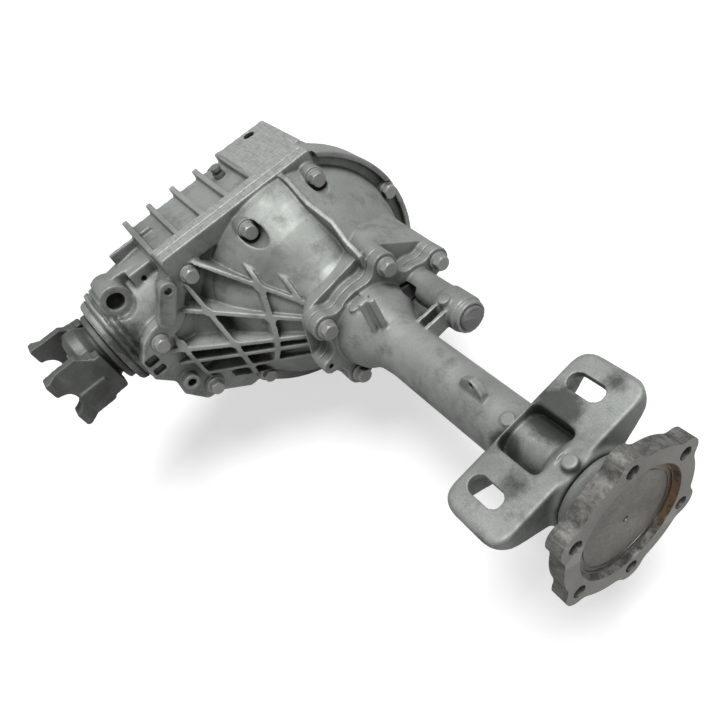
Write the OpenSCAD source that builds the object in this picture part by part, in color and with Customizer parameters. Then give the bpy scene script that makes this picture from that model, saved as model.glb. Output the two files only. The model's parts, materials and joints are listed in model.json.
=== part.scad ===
// Front differential of a four-wheel-drive truck: split aluminium case with a ribbed
// cover, long axle tube with a slotted mounting bracket, hypoid gears, differential
// gears, axle disconnect, two output flanges and a pinion yoke.
// The origin is the centre of the right output flange's face. +X runs out of that
// flange, +Z is up and the pinion points towards -Y.

/* [Layout] */
// Distance from the right flange face back to the case's split plane
reach = 432; // [400:1:480]
// Angle by which the pinion nose is raised above the bracket's level
nose_tilt = 7; // [0:0.5:10]
// Pinion axis, distance to the left of the split plane
pinion_x = 56; // [54:0.5:58]
// Pinion axis, height above the axle line
pinion_z = 40; // [38:0.5:42]
// Pinion axis to the left output flange's face
left_reach = 132; // [126:1:150]

/* [Output flanges] */
// Bolt circle of the output flanges
flange_pcd = 112; // [108:1:120]
// Bolts in each output flange
flange_bolt_count = 6; // [4:1:8]
// Bolt hole of the output flanges
flange_hole_d = 11; // [9:0.5:12]
// Angle of the first hole above +Y
flange_clock = 15; // [0:1:60]
// Thickness of the output flanges
flange_t = 13; // [10:0.5:16]
// Recess in the flange face
flange_recess_d = 92; // [84:1:94]
// Depth of that recess
flange_recess_depth = 4; // [3:0.5:8]
// Diameter of the cover plate in the recess
flange_plate_d = 86; // [70:1:87]
// Diameter of the output shafts
output_shaft_d = 32; // [28:0.5:34]

/* [Axle tube] */
// Outer diameter of the tube
tube_d = 50; // [48:0.5:56]
// Bore of the tube
tube_bore_d = 38; // [37:0.5:40]
// Diameter of the seal collar at the tube's end
collar_d = 68; // [62:0.5:72]
// Seal collar's end face, back from the flange face
collar_back = 34; // [33:0.5:38]
// Length of the seal collar
collar_len = 22; // [21:0.5:24]

/* [Bracket] */
// Bracket width along the axle
bracket_w = 58; // [50:1:66]
// Bracket length across the axle
bracket_len = 152; // [140:1:170]
// Height of the bracket's top face over the axle line
bracket_top = 32; // [30:0.5:38]
// Middle of the bracket, back from the flange face
bracket_back = 67; // [64:0.5:76]
// Corner radius of the bracket seen from above
bracket_corner_r = 15; // [8:0.5:20]
// Thickness of the bracket's top
bracket_t = 7; // [5:0.5:9]
// Thickness of the bracket's side walls
bracket_wall = 6; // [5:0.5:8]
// Distance between the two slots
slot_spacing = 100; // [94:1:112]
// Length of a slot
slot_len = 30; // [24:0.5:34]
// Width of a slot
slot_w = 15; // [12:0.5:16]
// Slot middle, back from the flange face
slot_back = 73; // [70:0.5:76]
// Window middle, back from the flange face
window_back = 74; // [72:0.5:76]
// Window over the tube, along the axle
window_w = 40; // [36:1:42]
// Window over the tube, across the axle
window_len = 42; // [36:1:44]

/* [Case] */
// Radius of the split flange round the ring gear
split_r = 131; // [130:0.5:136]
// Height of the case's straight top edge
top_z = 118; // [116:0.5:121]
// Thickness of each half of the split flange
split_t = 14; // [12:0.5:16]
// Wall of the castings
case_wall = 7; // [6:0.5:8]
// Distance from the split plane to the neck joint
neck_x = 126; // [124:1:132]
// Radius of the case's neck
neck_r = 47; // [46:0.5:52]
// Thickness of the tube's neck flange
neck_flange_t = 11; // [9:0.5:14]
// Thickness of the cover's ribs
rib_t = 4.5; // [3.5:0.5:6]
// Height of the cover's ribs above its floor
rib_h = 24; // [16:1:26]
// Number of cooling fins on top
fin_count = 5; // [3:1:6]
// Spacing of the cooling fins
fin_pitch = 30.5; // [26:0.5:31]
// Length of the cooling fins
fin_len = 90; // [60:1:96]
// Depth from the top edge down to the left case's roof
roof_drop = 9; // [8:0.5:12]
// Bore of the front mounting boss
boss_bore_d = 18; // [14:0.5:20]
// Outer diameter of the front mounting boss
boss_d = 33; // [30:0.5:36]
// Length of the front mounting boss
boss_len = 34; // [28:1:44]
// Hole in the upper mounting pad
pad_hole_d = 12; // [10:0.5:14]
// Radius of the pinion nose's end ring
nose_r = 48; // [47:0.5:50]
// End of the pinion nose, out from the axle line
nose_end = 206; // [204:0.5:212]

/* [Fasteners] */
// Thread diameter of the case bolts
bolt_d = 10; // [8:0.5:11]
// Width across flats of the bolt heads
bolt_af = 14; // [13:0.5:15]
// Diameter of the bolt heads' washer face
bolt_washer_d = 19; // [18:0.5:21]
// Height of the hexagon
bolt_head_h = 7; // [5:0.5:8]

/* [Gears] */
// Teeth on the ring gear
ring_teeth = 41; // [41:1:41]
// Teeth on the pinion
pinion_teeth = 12; // [12:1:12]
// Outer radius of the ring gear's teeth
ring_r = 92; // [88:0.5:92.5]
// Teeth on each side gear
side_teeth = 16; // [16:1:16]
// Teeth on each spider gear
spider_teeth = 10; // [10:1:10]
// Diameter of the cross pin
cross_pin_d = 18; // [16:0.5:20]
// Diameter of the pinion's shaft
pinion_shaft_d = 34; // [30:0.5:36]

/* [Yoke] */
// Distance across the outside of the yoke's ears
yoke_span = 88; // [80:1:90]
// Thickness of each ear
ear_t = 15; // [12:0.5:17]
// Height over the prongs
prong_span = 66; // [60:1:72]
// Diameter of the bearing cap saddles
saddle_d = 27; // [24:0.5:30]
// Prong tips, out from the axle line
prong_end = 276; // [270:1:290]
// Diameter of the dust deflector
deflector_d = 80; // [70:0.5:84]

/* [Axle disconnect] */
// Rail of the shift fork, in front of the axle line
rail_y = 57; // [55:0.5:60]
// Rail of the shift fork, above the axle line
rail_z = 5; // [3:0.5:8]
// Diameter of the rail
rail_d = 13; // [12:0.5:14]
// Diameter of the actuator housing round the rail
actuator_d = 31; // [29:0.5:34]
// End of the actuator housing, out from the split plane
actuator_end = 214; // [208:1:222]
// Travel of the shift collar
shift_travel = 12; // [8:0.5:13]

/* [Fits] */
// Radial clearance of parts that turn or slide on each other
run_gap = 0.05; // [0.03:0.01:0.08]
// Radial clearance of a bolt in its hole
bolt_gap = 0.5; // [0.3:0.1:0.8]

/* [Hidden] */
$fn = 64;

cast_grey = [0.56, 0.58, 0.56];
steel_grey = [0.45, 0.45, 0.43];
bolt_grey = [0.36, 0.37, 0.36];
gear_grey = [0.52, 0.52, 0.54];
yoke_grey = [0.37, 0.39, 0.37];
black_rubber = [0.08, 0.08, 0.08];

// Everything below is written from the split plane on the axle line.
module on_axle() { translate([-reach, 0, 0]) children(); }
module in_case() { on_axle() rotate([-nose_tilt, 0, 0]) children(); }
// A profile given as [distance along X, radius] points, turned round the axle line.
module turned(points, n = 96) {
    rotate([0, 90, 0]) rotate([0, 0, 90]) rotate_extrude($fn = n)
        polygon([for (p = points) [p[1], p[0]]]);
}
// A flat outline drawn in Y and Z, made solid from x0 to x1.
module slab(x0, x1) {
    translate([x0, 0, 0]) rotate([90, 0, 90]) linear_extrude(x1 - x0) children();
}
module rod_x(x0, x1, r, n = 64) {
    translate([x0, 0, 0]) rotate([0, 90, 0]) cylinder(r = r, h = x1 - x0, $fn = n);
}
module ring_x(x0, x1, r_out, r_in) {
    difference() {
        rod_x(x0, x1, r_out);
        rod_x(x0 - 1, x1 + 1, r_in);
    }
}
// The same along the pinion: distances count outwards from the axle line.
module on_pinion() { translate([-pinion_x, 0, pinion_z]) rotate([90, 0, 0]) children(); }
module rod_p(y0, y1, r, n = 64) { translate([0, 0, y0]) cylinder(r = r, h = y1 - y0, $fn = n); }
module turned_p(points, n = 72) {
    rotate_extrude($fn = n) polygon([for (p = points) [p[1], p[0]]]);
}
module round_2d(r) { offset(r = -r) offset(r = r) children(); }
module round_out(r) { offset(r = r) offset(r = -r) children(); }

// Split flange
bolt_pad_r = bolt_washer_d / 2 + 1.5;
bolt_sink_r = bolt_washer_d / 2 + 1;
bolt_r = split_r - 10;
top_bolt_z = top_z - 20;
top_seat = split_t + 14;
split_bolts = [
    [-102, top_bolt_z - 7, split_t], [-34, top_bolt_z, top_seat], [49, top_bolt_z, top_seat],
    [bolt_r * cos(12), bolt_r * sin(12), split_t], [-165, 50, split_t], [-152, -34, split_t],
    [-100, -bolt_r * sin(34.2), split_t], [bolt_r * cos(-32), bolt_r * sin(-32), split_t],
    [bolt_r * cos(-70), bolt_r * sin(-70), split_t], [bolt_r * cos(-108), bolt_r * sin(-108), split_t]];
flange_corner_y = 118;
module split_outline() {
    round_2d(9) round_out(5) intersection() {
        union() {
            circle(r = split_r, $fn = 128);
            polygon([[-flange_corner_y, top_z], [62, top_z], [62, 0], [-100, -70], [-122, -72],
                [-150, -50], [-167, -47], [-182, -22], [-180, -2], [-194, 16], [-192, 42],
                [-178, 60], [-165, 66], [-146, 68], [-138, 82], [-flange_corner_y, 102]]);
        }
        translate([-2 * split_r, -2 * split_r]) square([4 * split_r, 2 * split_r + top_z]);
    }
}
module bolt_circles(r, points) { for (p = points) translate(p) circle(r = r, $fn = 32); }

// Neck flange between the case and the axle tube
neck_bolts = [[-42, 35], [34, 48], [84, 12], [-36, -36], [46, -42]];
lug_pos = [-57, -6];
small_hole_r = 2.6;
module neck_outline() {
    round_2d(12) union() {
        circle(r = neck_r, $fn = 96);
        bolt_circles(13, neck_bolts);
        arm([rail_y, rail_z], actuator_d / 2 + 5);
        arm(lug_pos, 8);
    }
}
// A flat arm from the middle to a point, rounded at that end
module arm(p, r) {
    translate(p) circle(r = r, $fn = 48);
    rotate(atan2(p[1], p[0])) translate([0, -r]) square([norm(p), 2 * r]);
}

// Bearings: the cone's bore, the cup's outside and the length of each
side_brg_in = 23;
side_brg_out = 41;
side_brg_len = 22;
adjuster_r = 34;
right_brg_x = 40;
left_brg_x = -pinion_x - 46 - side_brg_len;
rear_brg_out = 40;
rear_brg_y = 108;
rear_brg_len = 24;
front_brg_out = 36;
front_brg_y = 164;
front_brg_len = 20;
seal_y = nose_end - 12;
seal_out = 38;
neck_bore_r = 35;

// Holes that hold the split bolts, shared by both halves
module split_holes(x0, x1, r) {
    for (p = split_bolts) translate([0, p[0], p[1]]) rod_x(x0, x1, r, 32);
}
dowels = [[bolt_r * cos(-7), bolt_r * sin(-7)], [-168, -9]];
dowel_r = 4.5;

// Right case half: flange, barrel down to the neck, dome over the ring gear and ribs
dome_r = top_z - 2;
module cover_shape(inset, x_far, r_far) {
    hull() {
        slab(0, 1) offset(delta = -inset) split_outline_plain();
        rod_x(x_far - 1, x_far, r_far, 48);
    }
}
module split_outline_plain() {
    polygon([[-112, top_z - 6], [50, top_z - 14], [60, 40], [60, -40], [-92, -78], [-150, -46],
        [-176, -12], [-186, 28], [-160, 60]]);
}
cover_far_x = neck_x - 12;
bowl_r = ring_r + 3;
rib_lines = [
    [[-149, 73], [-40, 26]], [[-172, 34], [-40, 10]], [[-165, 14], [-40, 1]], [[-150, -12], [-40, -14]],
    [[-111, 96], [-111, -50]], [[-60, 66], [-92, -20]], [[-152, 69], [-150, -30]],
    [[-97, 104], [-40, 44]], [[-52, 106], [-60, 66]], [[-36, 100], [-41, 42]], [[-130, -40], [-60, -52]]];
rib_knots = [[-111, 57], [-111, 23], [-111, -14], [-61, 64], [-71, 38], [-90, -16], [-151, 36]];
module rib_plates() {
    for (l = rib_lines) {
        d = l[1] - l[0];
        slab(2, neck_x) translate(l[0]) rotate(atan2(d[1], d[0]))
            translate([0, -rib_t / 2]) square([norm(d), rib_t]);
    }
    for (k = rib_knots) translate([0, k[0], k[1]]) rod_x(2, neck_x, rib_t, 24);
}
gusset_path = [
    [1, 24], [30, 24], [45, 22.6], [58, 21.8], [70, 23.4], [86, 25.4], [96, 24], [106, 22.2], [neck_x, 22]];
gusset_t = 5;
module case_right_solid() {
    slab(0, split_t - 4) split_outline();
    // rim that stands round the bolts
    slab(0, split_t + 4) difference() {
        split_outline();
        offset(delta = -6) split_outline();
        translate([-220, -200]) square([284, 400]);
    }
    slab(0, split_t) difference() {
        split_outline();
        translate([-300, -200]) square([300, 200 + 38]);
        offset(delta = -21) split_outline();
        translate([61, -200]) square([200, 400]);
    }
    for (p = split_bolts) translate([0, p[0], p[1]]) rod_x(0, p[2], bolt_pad_r, 32);
    // barrel and dome
    turned([[0, 0], [0, dome_r], [10, dome_r], [22, 112], [42, 103], [62, 89], [80, 72], [96, 57],
        [108, 50], [neck_x - 10, neck_r], [neck_x - 10, 0]], 128);
    hull() {
        slab(neck_x - 11, neck_x - 10) neck_outline();
        translate([0, 50, 0]) rod_x(28, 30, 52, 48);
    }
    slab(neck_x - 10.5, neck_x) neck_outline();
    // floor of the ribbed side and the ribs on it
    translate([-rib_h, 0, 0]) cover_shape(6, cover_far_x, neck_r - 4);
    intersection() {
        rib_plates();
        cover_shape(4, cover_far_x, neck_r - 2);
    }
    // wall that runs along the barrel to the neck
    intersection() {
        translate([0, 40, 0]) rotate([90, 0, 0]) linear_extrude(40)
            polygon([[2, 60], [2, top_z - 2], [24, top_z - 3], [58, 100], [86, 86], [106, 75],
                [neck_x - 1, 64], [neck_x - 1, 30]]);
        translate([0, 0, 20]) linear_extrude(100)
            polygon(concat([for (w = gusset_path) w + [0, gusset_t / 2]],
                [for (i = [len(gusset_path) - 1 : -1 : 0]) gusset_path[i] - [0, gusset_t / 2]]));
    }
    lifting_lug();
    translate([0, ear_pos[0], ear_pos[1]]) rod_x(0, split_t + 6, ear_r, 32);
}
ear_pos = dowels[1];
ear_r = 9;
lug_eye = [-128, 94];
lug_foot = [-146, 70];
module lifting_lug() {
    slab(split_t - 2, split_t + 9) translate(lug_foot) {
        circle(r = 9, $fn = 32);
        arm(lug_eye - lug_foot, 9);
    }
}
module case_right() {
    color(cast_grey) in_case() difference() {
        intersection() {
            case_right_solid();
            translate([0, -300, -300]) cube([400, 600, 600]);
        }
        // space for the ring gear, the carrier and the side bearing
        difference() {
            turned([[-1, 0], [-1, bowl_r], [14, bowl_r], [28, bowl_r - 6], [54, 80], [68, 70], [76, 62],
                [84, 54], [84, 0]], 128);
            rod_x(right_brg_x - 4, 90, side_brg_out + 8, 96);
        }
        rod_x(right_brg_x - 5, right_brg_x + side_brg_len, side_brg_out, 96);
        rod_x(right_brg_x + side_brg_len - 1, right_brg_x + side_brg_len + 14, adjuster_r, 96);
        rod_x(60, neck_x + 1, hub_bore_r, 96);
        rod_x(neck_x - 22, neck_x + 1, neck_bore_r, 96);
        rail_passage(neck_x - 22, neck_x + 1);
        translate([0, rail_y, rail_z]) rod_x(rail_stop, neck_x - 15, rail_d / 2 + run_gap, 64);
        split_holes(-1, top_seat + 1, bolt_d / 2 + bolt_gap);
        for (p = split_bolts) translate([0, p[0], p[1]])
            rod_x(p[2], p[2] + 40, bolt_sink_r, 32);
        for (p = neck_bolts) translate([0, p[0], p[1]]) rod_x(neck_x - 22, neck_x + 1, bolt_d / 2, 32);
        translate([0, lug_pos[0], lug_pos[1]]) rod_x(neck_x - 30, neck_x + 1, small_hole_r, 24);
        for (d = dowels) translate([0, d[0], d[1]]) rod_x(-1, 9, dowel_r, 24);
        translate([0, ear_pos[0], ear_pos[1]]) rod_x(split_t - 6, split_t + 7, dowel_r, 24);
        translate([0, lug_eye[0], lug_eye[1]]) rod_x(0, split_t + 20, 3.6, 24);
        // two cored pockets at the tip of the flange
        for (z = [[31, 43], [18, 26]]) slab(4, split_t + 1) translate([-190, z[0]])
            round_out(2) square([13, z[1] - z[0]]);
        // hollow behind the ribbed floor
        difference() {
            translate([-rib_h - case_wall, 0, 0]) cover_shape(26, cover_far_x, neck_r - 12);
            rod_x(30, 90, side_brg_out + 6, 96);
            for (p = split_bolts) translate([0, p[0], p[1]]) rod_x(-1, 60, bolt_washer_d / 2 + 3, 32);
        }
    }
}
// Where the rail stops when the collar has gone all its way, and room for the fork
rail_stop = neck_x - 26 - shift_travel;
module rail_passage(x0, x1) {
    translate([0, rail_y, rail_z]) rod_x(x0, x1, rail_d / 2 + 3.5, 48);
    slab(x0, x1) polygon([[0, -20], [rail_y, rail_z - 9], [rail_y, rail_z + 9], [0, 26]]);
}

// Left case half: roof with fins, bowl over the carrier and the pinion nose
roof_z = top_z - roof_drop;
hub_end = left_brg_x - 24;
fin_first_y = -flange_corner_y;
fin_t = 6;
pad_x = 68;
pad_y0 = 7;
pad_y1 = 67;
pad_hole_x = -88;
pad_hole_y = 43;
boss_y = 172;
boss_z = 95;
boss_face_x = -20;
body_r = ring_r + 11;
roof_far_x = -split_t - fin_len + 5;
module left_body_outline(inset) {
    round_out(16) union() {
        circle(r = body_r - inset, $fn = 96);
        polygon([[-122 + inset, body_r - inset], [72 - inset, body_r - inset], [72 - inset, 0], [0, -60],
            [-96, -60], [-122 + inset, -20]]);
    }
}
module case_left_solid() {
    slab(-split_t, 0) split_outline();
    hull() {
        slab(-split_t - 1, -split_t + 1) left_body_outline(0);
        slab(-62, -60) left_body_outline(1.5);
    }
    hull() {
        slab(-62, -60) left_body_outline(1.5);
        slab(-101, -100) intersection() {
            left_body_outline(14);
            translate([-112, -90]) square([220, 220]);
        }
    }
    // flat roof that carries the fins
    hull() {
        slab(-split_t - 1, -split_t + 1) translate([-121, roof_z - 40]) square([194, 40]);
        slab(-60, -40) translate([-121, roof_z - 30]) square([190, 29]);
        slab(roof_far_x, roof_far_x + 4) translate([-117, roof_z - 9]) square([182, 8]);
    }
    turned([[-99, 0], [-99, body_r - 15], [-106, 76], [-114, 64], [-124, 56], [hub_end, 50],
        [hub_end, 0]], 96);
    // fins along the roof
    for (i = [0 : fin_count - 1]) translate([0, fin_first_y + i * fin_pitch + 5, 0])
        rotate([90, 0, 0]) linear_extrude(fin_t)
            polygon([[-split_t + 1, roof_z - 14], [-split_t + 1, top_z - 1], [-split_t - 14, top_z - 1.5],
                [-split_t - 45, top_z - 2.5], [-split_t - fin_len + 10, top_z - 2],
                [-split_t - fin_len + 2, top_z - 1], [-split_t - fin_len, top_z - 4],
                [-split_t - fin_len + 4, roof_z - 6]]);
    // upper mounting pad
    hull() {
        translate([-split_t - pad_x - 16, pad_y0, roof_z - 16])
            cube([pad_x + 17, pad_y1 - pad_y0, top_z - roof_z + 16]);
        translate([-split_t - pad_x, pad_y0, roof_z - 30]) cube([pad_x, pad_y1 - pad_y0 - 8, 10]);
    }
    nose_solid();
    mount_boss();
    fill_plug_place() translate([0, 0, -20]) cylinder(r = plug_r + 5, h = 20, $fn = 48);
    translate([vent_pos[0], vent_pos[1], roof_z - 12]) cylinder(r = 8, h = 12, $fn = 32);
    translate([drain_pos[0], drain_pos[1], -drain_face]) cylinder(r = plug_r + 5, h = 20, $fn = 48);
}
nose_rib_angles = [100, 145, 190, 235];
nose_rib_t = 5;
module nose_solid() {
    intersection() {
        on_pinion() turned_p([[60, 0], [60, 66], [128, 64], [176, 58], [196, 55], [199, nose_r + 2],
            [nose_end - 3, nose_r + 2], [nose_end, nose_r], [nose_end, 0]], 96);
        translate([-200, -400, -200]) cube([200 - 2, 400, 400]);
    }
    // ribs from the nose back to the bowl
    for (a = nose_rib_angles) on_pinion() rotate([0, 0, a])
        translate([40, -nose_rib_t / 2, 100]) cube([34, nose_rib_t, 50]);
}
module mount_boss() {
    translate([0, -boss_y, boss_z]) rod_x(boss_face_x - boss_len, boss_face_x, boss_d / 2, 64);
    // web that carries the boss, parallel to the split plane
    slab(boss_face_x - boss_len + 4, boss_face_x - 14) hull() {
        translate([-boss_y, boss_z]) circle(r = boss_d / 2 - 1, $fn = 48);
        translate([-boss_y - 4, 50]) circle(r = 14, $fn = 32);
        translate([-122, 92]) square([4, 14]);
        translate([-122, 50]) square([4, 4]);
    }
    slab(boss_face_x - 14, boss_face_x - 2) hull() {
        translate([-148, boss_z + 6]) square([30, 6]);
        translate([-148, boss_z - 18]) square([26, 6]);
    }
}
module case_left() {
    color(cast_grey) in_case() difference() {
        intersection() {
            case_left_solid();
            translate([-400, -400, -300]) cube([400, 800, 600]);
        }
        // bowl for the ring gear and the carrier
        turned([[1, 0], [1, bowl_r], [-52, bowl_r - 1], [-70, 86], [-92, 70],
            [left_brg_x + side_brg_len + 4, 54], [left_brg_x + side_brg_len + 4, 0]], 128);
        rod_x(left_brg_x, 0, side_brg_out, 96);
        rod_x(left_brg_x - 14, left_brg_x + 1, adjuster_r, 96);
        rod_x(hub_end - 1, left_brg_x, hub_bore_r, 96);
        // pinion bore
        on_pinion() {
            rod_p(0, rear_brg_y + 1, rear_brg_out + 4, 96);
            rod_p(rear_brg_y, rear_brg_y + rear_brg_len, rear_brg_out, 96);
            rod_p(rear_brg_y, front_brg_y + 1, 30, 96);
            rod_p(front_brg_y, front_brg_y + front_brg_len, front_brg_out, 96);
            rod_p(front_brg_y + front_brg_len - 1, nose_end + 1, 31, 96);
            rod_p(seal_y, nose_end + 1, seal_out, 96);
        }
        split_holes(-24, 1, bolt_d / 2);
        for (d = dowels) translate([0, d[0], d[1]]) rod_x(-9, 1, dowel_r, 24);
        translate([0, -boss_y, boss_z]) {
            rod_x(boss_face_x - boss_len - 1, boss_face_x + 1, boss_bore_d / 2, 64);
            rod_x(boss_face_x, 1, boss_d / 2 + 1.5, 64);
        }
        translate([0, -137, boss_z]) rod_x(-60, 1, small_hole_r, 24);
        translate([pad_hole_x, pad_hole_y, top_z - 40]) cylinder(d = pad_hole_d, h = 60, $fn = 48);
        drain_plug_hole();
        fill_plug_place() translate([0, 0, -40]) cylinder(r = plug_r, h = 60, $fn = 48);
        translate([vent_pos[0], vent_pos[1], 0]) cylinder(r = 4, h = 200, $fn = 32);
    }
}

// Plugs and vent
plug_r = 9;
plug_hex_r = 7.5;
fill_pos = [-38, -14];
drain_pos = [-40, 20];
drain_face = body_r + 2;
vent_pos = [-70, -10];
module fill_plug_place() {
    translate([fill_pos[0], body_r + 3, fill_pos[1]]) rotate([-90, 0, 0]) children();
}
module fill_plug() {
    color(steel_grey) in_case() fill_plug_place() {
        translate([0, 0, -12]) cylinder(r = plug_r, h = 13, $fn = 48);
        cylinder(r = plug_r + 3, h = 3, $fn = 48);
        difference() {
            translate([0, 0, 2]) cylinder(r = plug_hex_r, h = 7, $fn = 6);
            translate([0, 0, 5]) cylinder(r = 3.5, h = 5, $fn = 6);
        }
    }
}
module drain_plug_hole() {
    translate([drain_pos[0], drain_pos[1], -200]) cylinder(r = plug_r, h = 120, $fn = 48);
}
module drain_plug() {
    color(steel_grey) in_case() translate([drain_pos[0], drain_pos[1], -drain_face]) {
        cylinder(r = plug_r, h = 14, $fn = 48);
        translate([0, 0, -3]) cylinder(r = plug_r + 3, h = 3, $fn = 48);
        translate([0, 0, -9]) cylinder(r = plug_hex_r, h = 7, $fn = 6);
    }
}
module vent() {
    color(steel_grey) in_case() translate([vent_pos[0], vent_pos[1], 0]) {
        translate([0, 0, roof_z - 6]) cylinder(r = 4, h = 8, $fn = 32);
        translate([0, 0, roof_z]) cylinder(r = 6.5, h = 5, $fn = 6);
        translate([0, 0, roof_z + 4]) cylinder(r = 3, h = 7, $fn = 24);
        translate([0, 0, roof_z + 8]) cylinder(r = 5.5, h = 4, $fn = 32);
    }
}

// Axle tube, neck flange, actuator housing, bracket and seal collar in one casting
tube_end = reach - collar_back;
module bracket_side_profile() {
    half = bracket_len / 2;
    round_out(5) difference() {
        translate([-half, -6]) square([bracket_len, bracket_top + 6]);
        for (s = [-1, 1]) hull() {
            translate([s * (half + 6), 2]) circle(r = 19, $fn = 64);
            translate([s * (half - 29), -17]) circle(r = 19, $fn = 64);
            translate([s * (half + 20), -17]) circle(r = 19, $fn = 64);
        }
    }
}
module bracket() {
    mid = reach - bracket_back;
    slot_mid = reach - slot_back;
    difference() {
        intersection() {
            slab(mid - bracket_w / 2, mid + bracket_w / 2) bracket_side_profile();
            translate([mid, 0, -20]) linear_extrude(80) round_out(bracket_corner_r)
                square([bracket_w, bracket_len], center = true);
        }
        // the underside is hollow between the walls
        for (s = [-1, 1]) translate([mid, s * (bracket_len / 4 + 10), -30])
            linear_extrude(30 + bracket_top - bracket_t) round_out(6)
                square([bracket_w - 2 * bracket_wall, bracket_len / 2 - 26 - bracket_wall], center = true);
        for (s = [-1, 1]) translate([slot_mid, s * slot_spacing / 2, 0]) slot_hole(60);
        translate([reach - window_back, 0, -40]) linear_extrude(100) round_out(6)
            square([window_w, window_len], center = true);
    }
}
module slot_hole(h) {
    r = slot_w / 2;
    straight = slot_len - slot_w;
    translate([-straight / 2, -r, 0]) cube([straight, slot_w, h]);
    for (s = [-1, 1]) translate([s * straight / 2, 0, 0]) cylinder(r = r, h = h, $fn = 48);
}
ejector_pad_r = 5.5;
clover_h = 28;
module neck_side() {
    rotate([-nose_tilt, 0, 0]) {
        slab(neck_x, neck_x + neck_flange_t) neck_outline();
        for (p = neck_bolts) translate([0, p[0], p[1]])
            rod_x(neck_x + 1, neck_x + neck_flange_t, bolt_pad_r, 32);
        turned([[neck_x + 2, 0], [neck_x + 2, 43], [neck_x + 13, 42], [neck_x + 26, 39], [neck_x + 36, 32],
            [neck_x + 50, tube_d / 2 + 2], [neck_x + 70, tube_d / 2], [neck_x + 70, 0]], 96);
        // housing of the shift rail, with two webs to the tube
        translate([0, rail_y, rail_z]) {
            rod_x(neck_x + 2, actuator_end, actuator_d / 2, 64);
            rod_x(actuator_end - 32, actuator_end - 6, actuator_d / 2 + 2, 64);
        }
        for (x = [actuator_end - 30, actuator_end - 17]) slab(x, x + 4) hull() {
            translate([0, 6]) circle(r = 10, $fn = 32);
            translate([rail_y, rail_z + 6]) circle(r = 8, $fn = 32);
        }
        translate([actuator_end - 21, rail_y - 8, rail_z + 8])
            cylinder(r = ejector_pad_r, h = actuator_d / 2 - 4, $fn = 32);
        // post with a clover-shaped top
        translate([neck_x + neck_flange_t + 8, -9, 16]) {
            for (a = [30 : 120 : 270]) rotate([0, 0, a]) translate([4.5, 0, 0])
                cylinder(r = 3.6, h = clover_h, $fn = 24);
            cylinder(r = 4.5, h = clover_h, $fn = 24);
        }
    }
}
module tube_housing() {
    color(cast_grey) on_axle() difference() {
        union() {
            rod_x(neck_x + 20, tube_end - collar_len + 2, tube_d / 2, 96);
            turned([[tube_end - collar_len - 4, 0], [tube_end - collar_len - 4, tube_d / 2],
                [tube_end - collar_len, collar_d / 2 - 2.5], [tube_end - collar_len + 4, collar_d / 2],
                [tube_end - 2, collar_d / 2], [tube_end, collar_d / 2 - 2], [tube_end, 0]], 96);
            bracket();
            neck_side();
            // post on the collar, ejector pads and a wiring tab
            translate([reach - 43, 0, 20]) cylinder(r = 7.5, h = 22, $fn = 48);
            translate([reach - 104, 0, 10]) cylinder(r = ejector_pad_r, h = tube_d / 2 - 9, $fn = 32);
            translate([reach - 140, 3, 0]) rotate([90, 0, 0]) linear_extrude(6)
                polygon([[-12, 10], [-12, 31], [-8, 36], [-2, 37], [12, 27], [14, 10]]);
        }
        rod_x(neck_x + 20, reach, tube_bore_d / 2, 96);
        rotate([-nose_tilt, 0, 0]) {
            rod_x(neck_x - 1, neck_x + 26, neck_bore_r, 96);
            rail_passage(neck_x - 1, neck_x + 26);
            translate([0, rail_y, rail_z]) {
                rod_x(neck_x, actuator_end - 20, rail_d / 2 + run_gap, 64);
                rod_x(neck_x + 36, actuator_end - 20, spring_room_r, 64);
                rod_x(actuator_end - 20, actuator_end + 1, rail_cap_r, 64);
            }
            for (p = neck_bolts) translate([0, p[0], p[1]]) {
                rod_x(neck_x - 1, neck_x + 80, bolt_d / 2 + bolt_gap, 32);
                rod_x(neck_x + neck_flange_t, neck_x + neck_flange_t + 24, bolt_sink_r, 32);
            }
            translate([0, lug_pos[0], lug_pos[1]]) rod_x(neck_x - 1, neck_x + 20, small_hole_r, 24);
        }
        rod_x(tube_end - tube_brg_len - seal_len - 2, tube_end + 1, tube_brg_out, 96);
        translate([reach - 142, 10, 27]) rotate([90, 0, 0]) cylinder(r = 2.2, h = 20, $fn = 24);
    }
}

// Fasteners
module flange_bolt(length) {
    rod_x(-length, 0, bolt_d / 2, 32);
    turned([[0, 0], [0, bolt_washer_d / 2], [1.6, bolt_washer_d / 2], [3, bolt_af / 2], [3, 0]], 48);
    intersection() {
        rod_x(2.9, 3 + bolt_head_h, bolt_af / 2 / cos(30), 6);
        turned([[2, 0], [2, bolt_af], [1 + bolt_head_h, bolt_af / 2 / cos(30)],
            [3 + bolt_head_h, bolt_af / 2 - 0.5], [3 + bolt_head_h, 0]], 48);
    }
}
module case_bolts() {
    color(bolt_grey) in_case() for (p = split_bolts) translate([p[2], p[0], p[1]])
        rotate([p[0] * 3, 0, 0]) flange_bolt(p[2] + 20);
}
module tube_bolts() {
    color(bolt_grey) in_case() for (p = neck_bolts) translate([neck_x + neck_flange_t, p[0], p[1]])
        rotate([p[1] * 5, 0, 0]) flange_bolt(neck_flange_t + 18);
}
module dowel_pins() {
    color(gear_grey) in_case() for (d = dowels) translate([0, d[0], d[1]])
        difference() {
            rod_x(-8.5, 8.5, dowel_r, 24);
            rod_x(-10, 10, dowel_r - 1.5, 24);
        }
}

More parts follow.
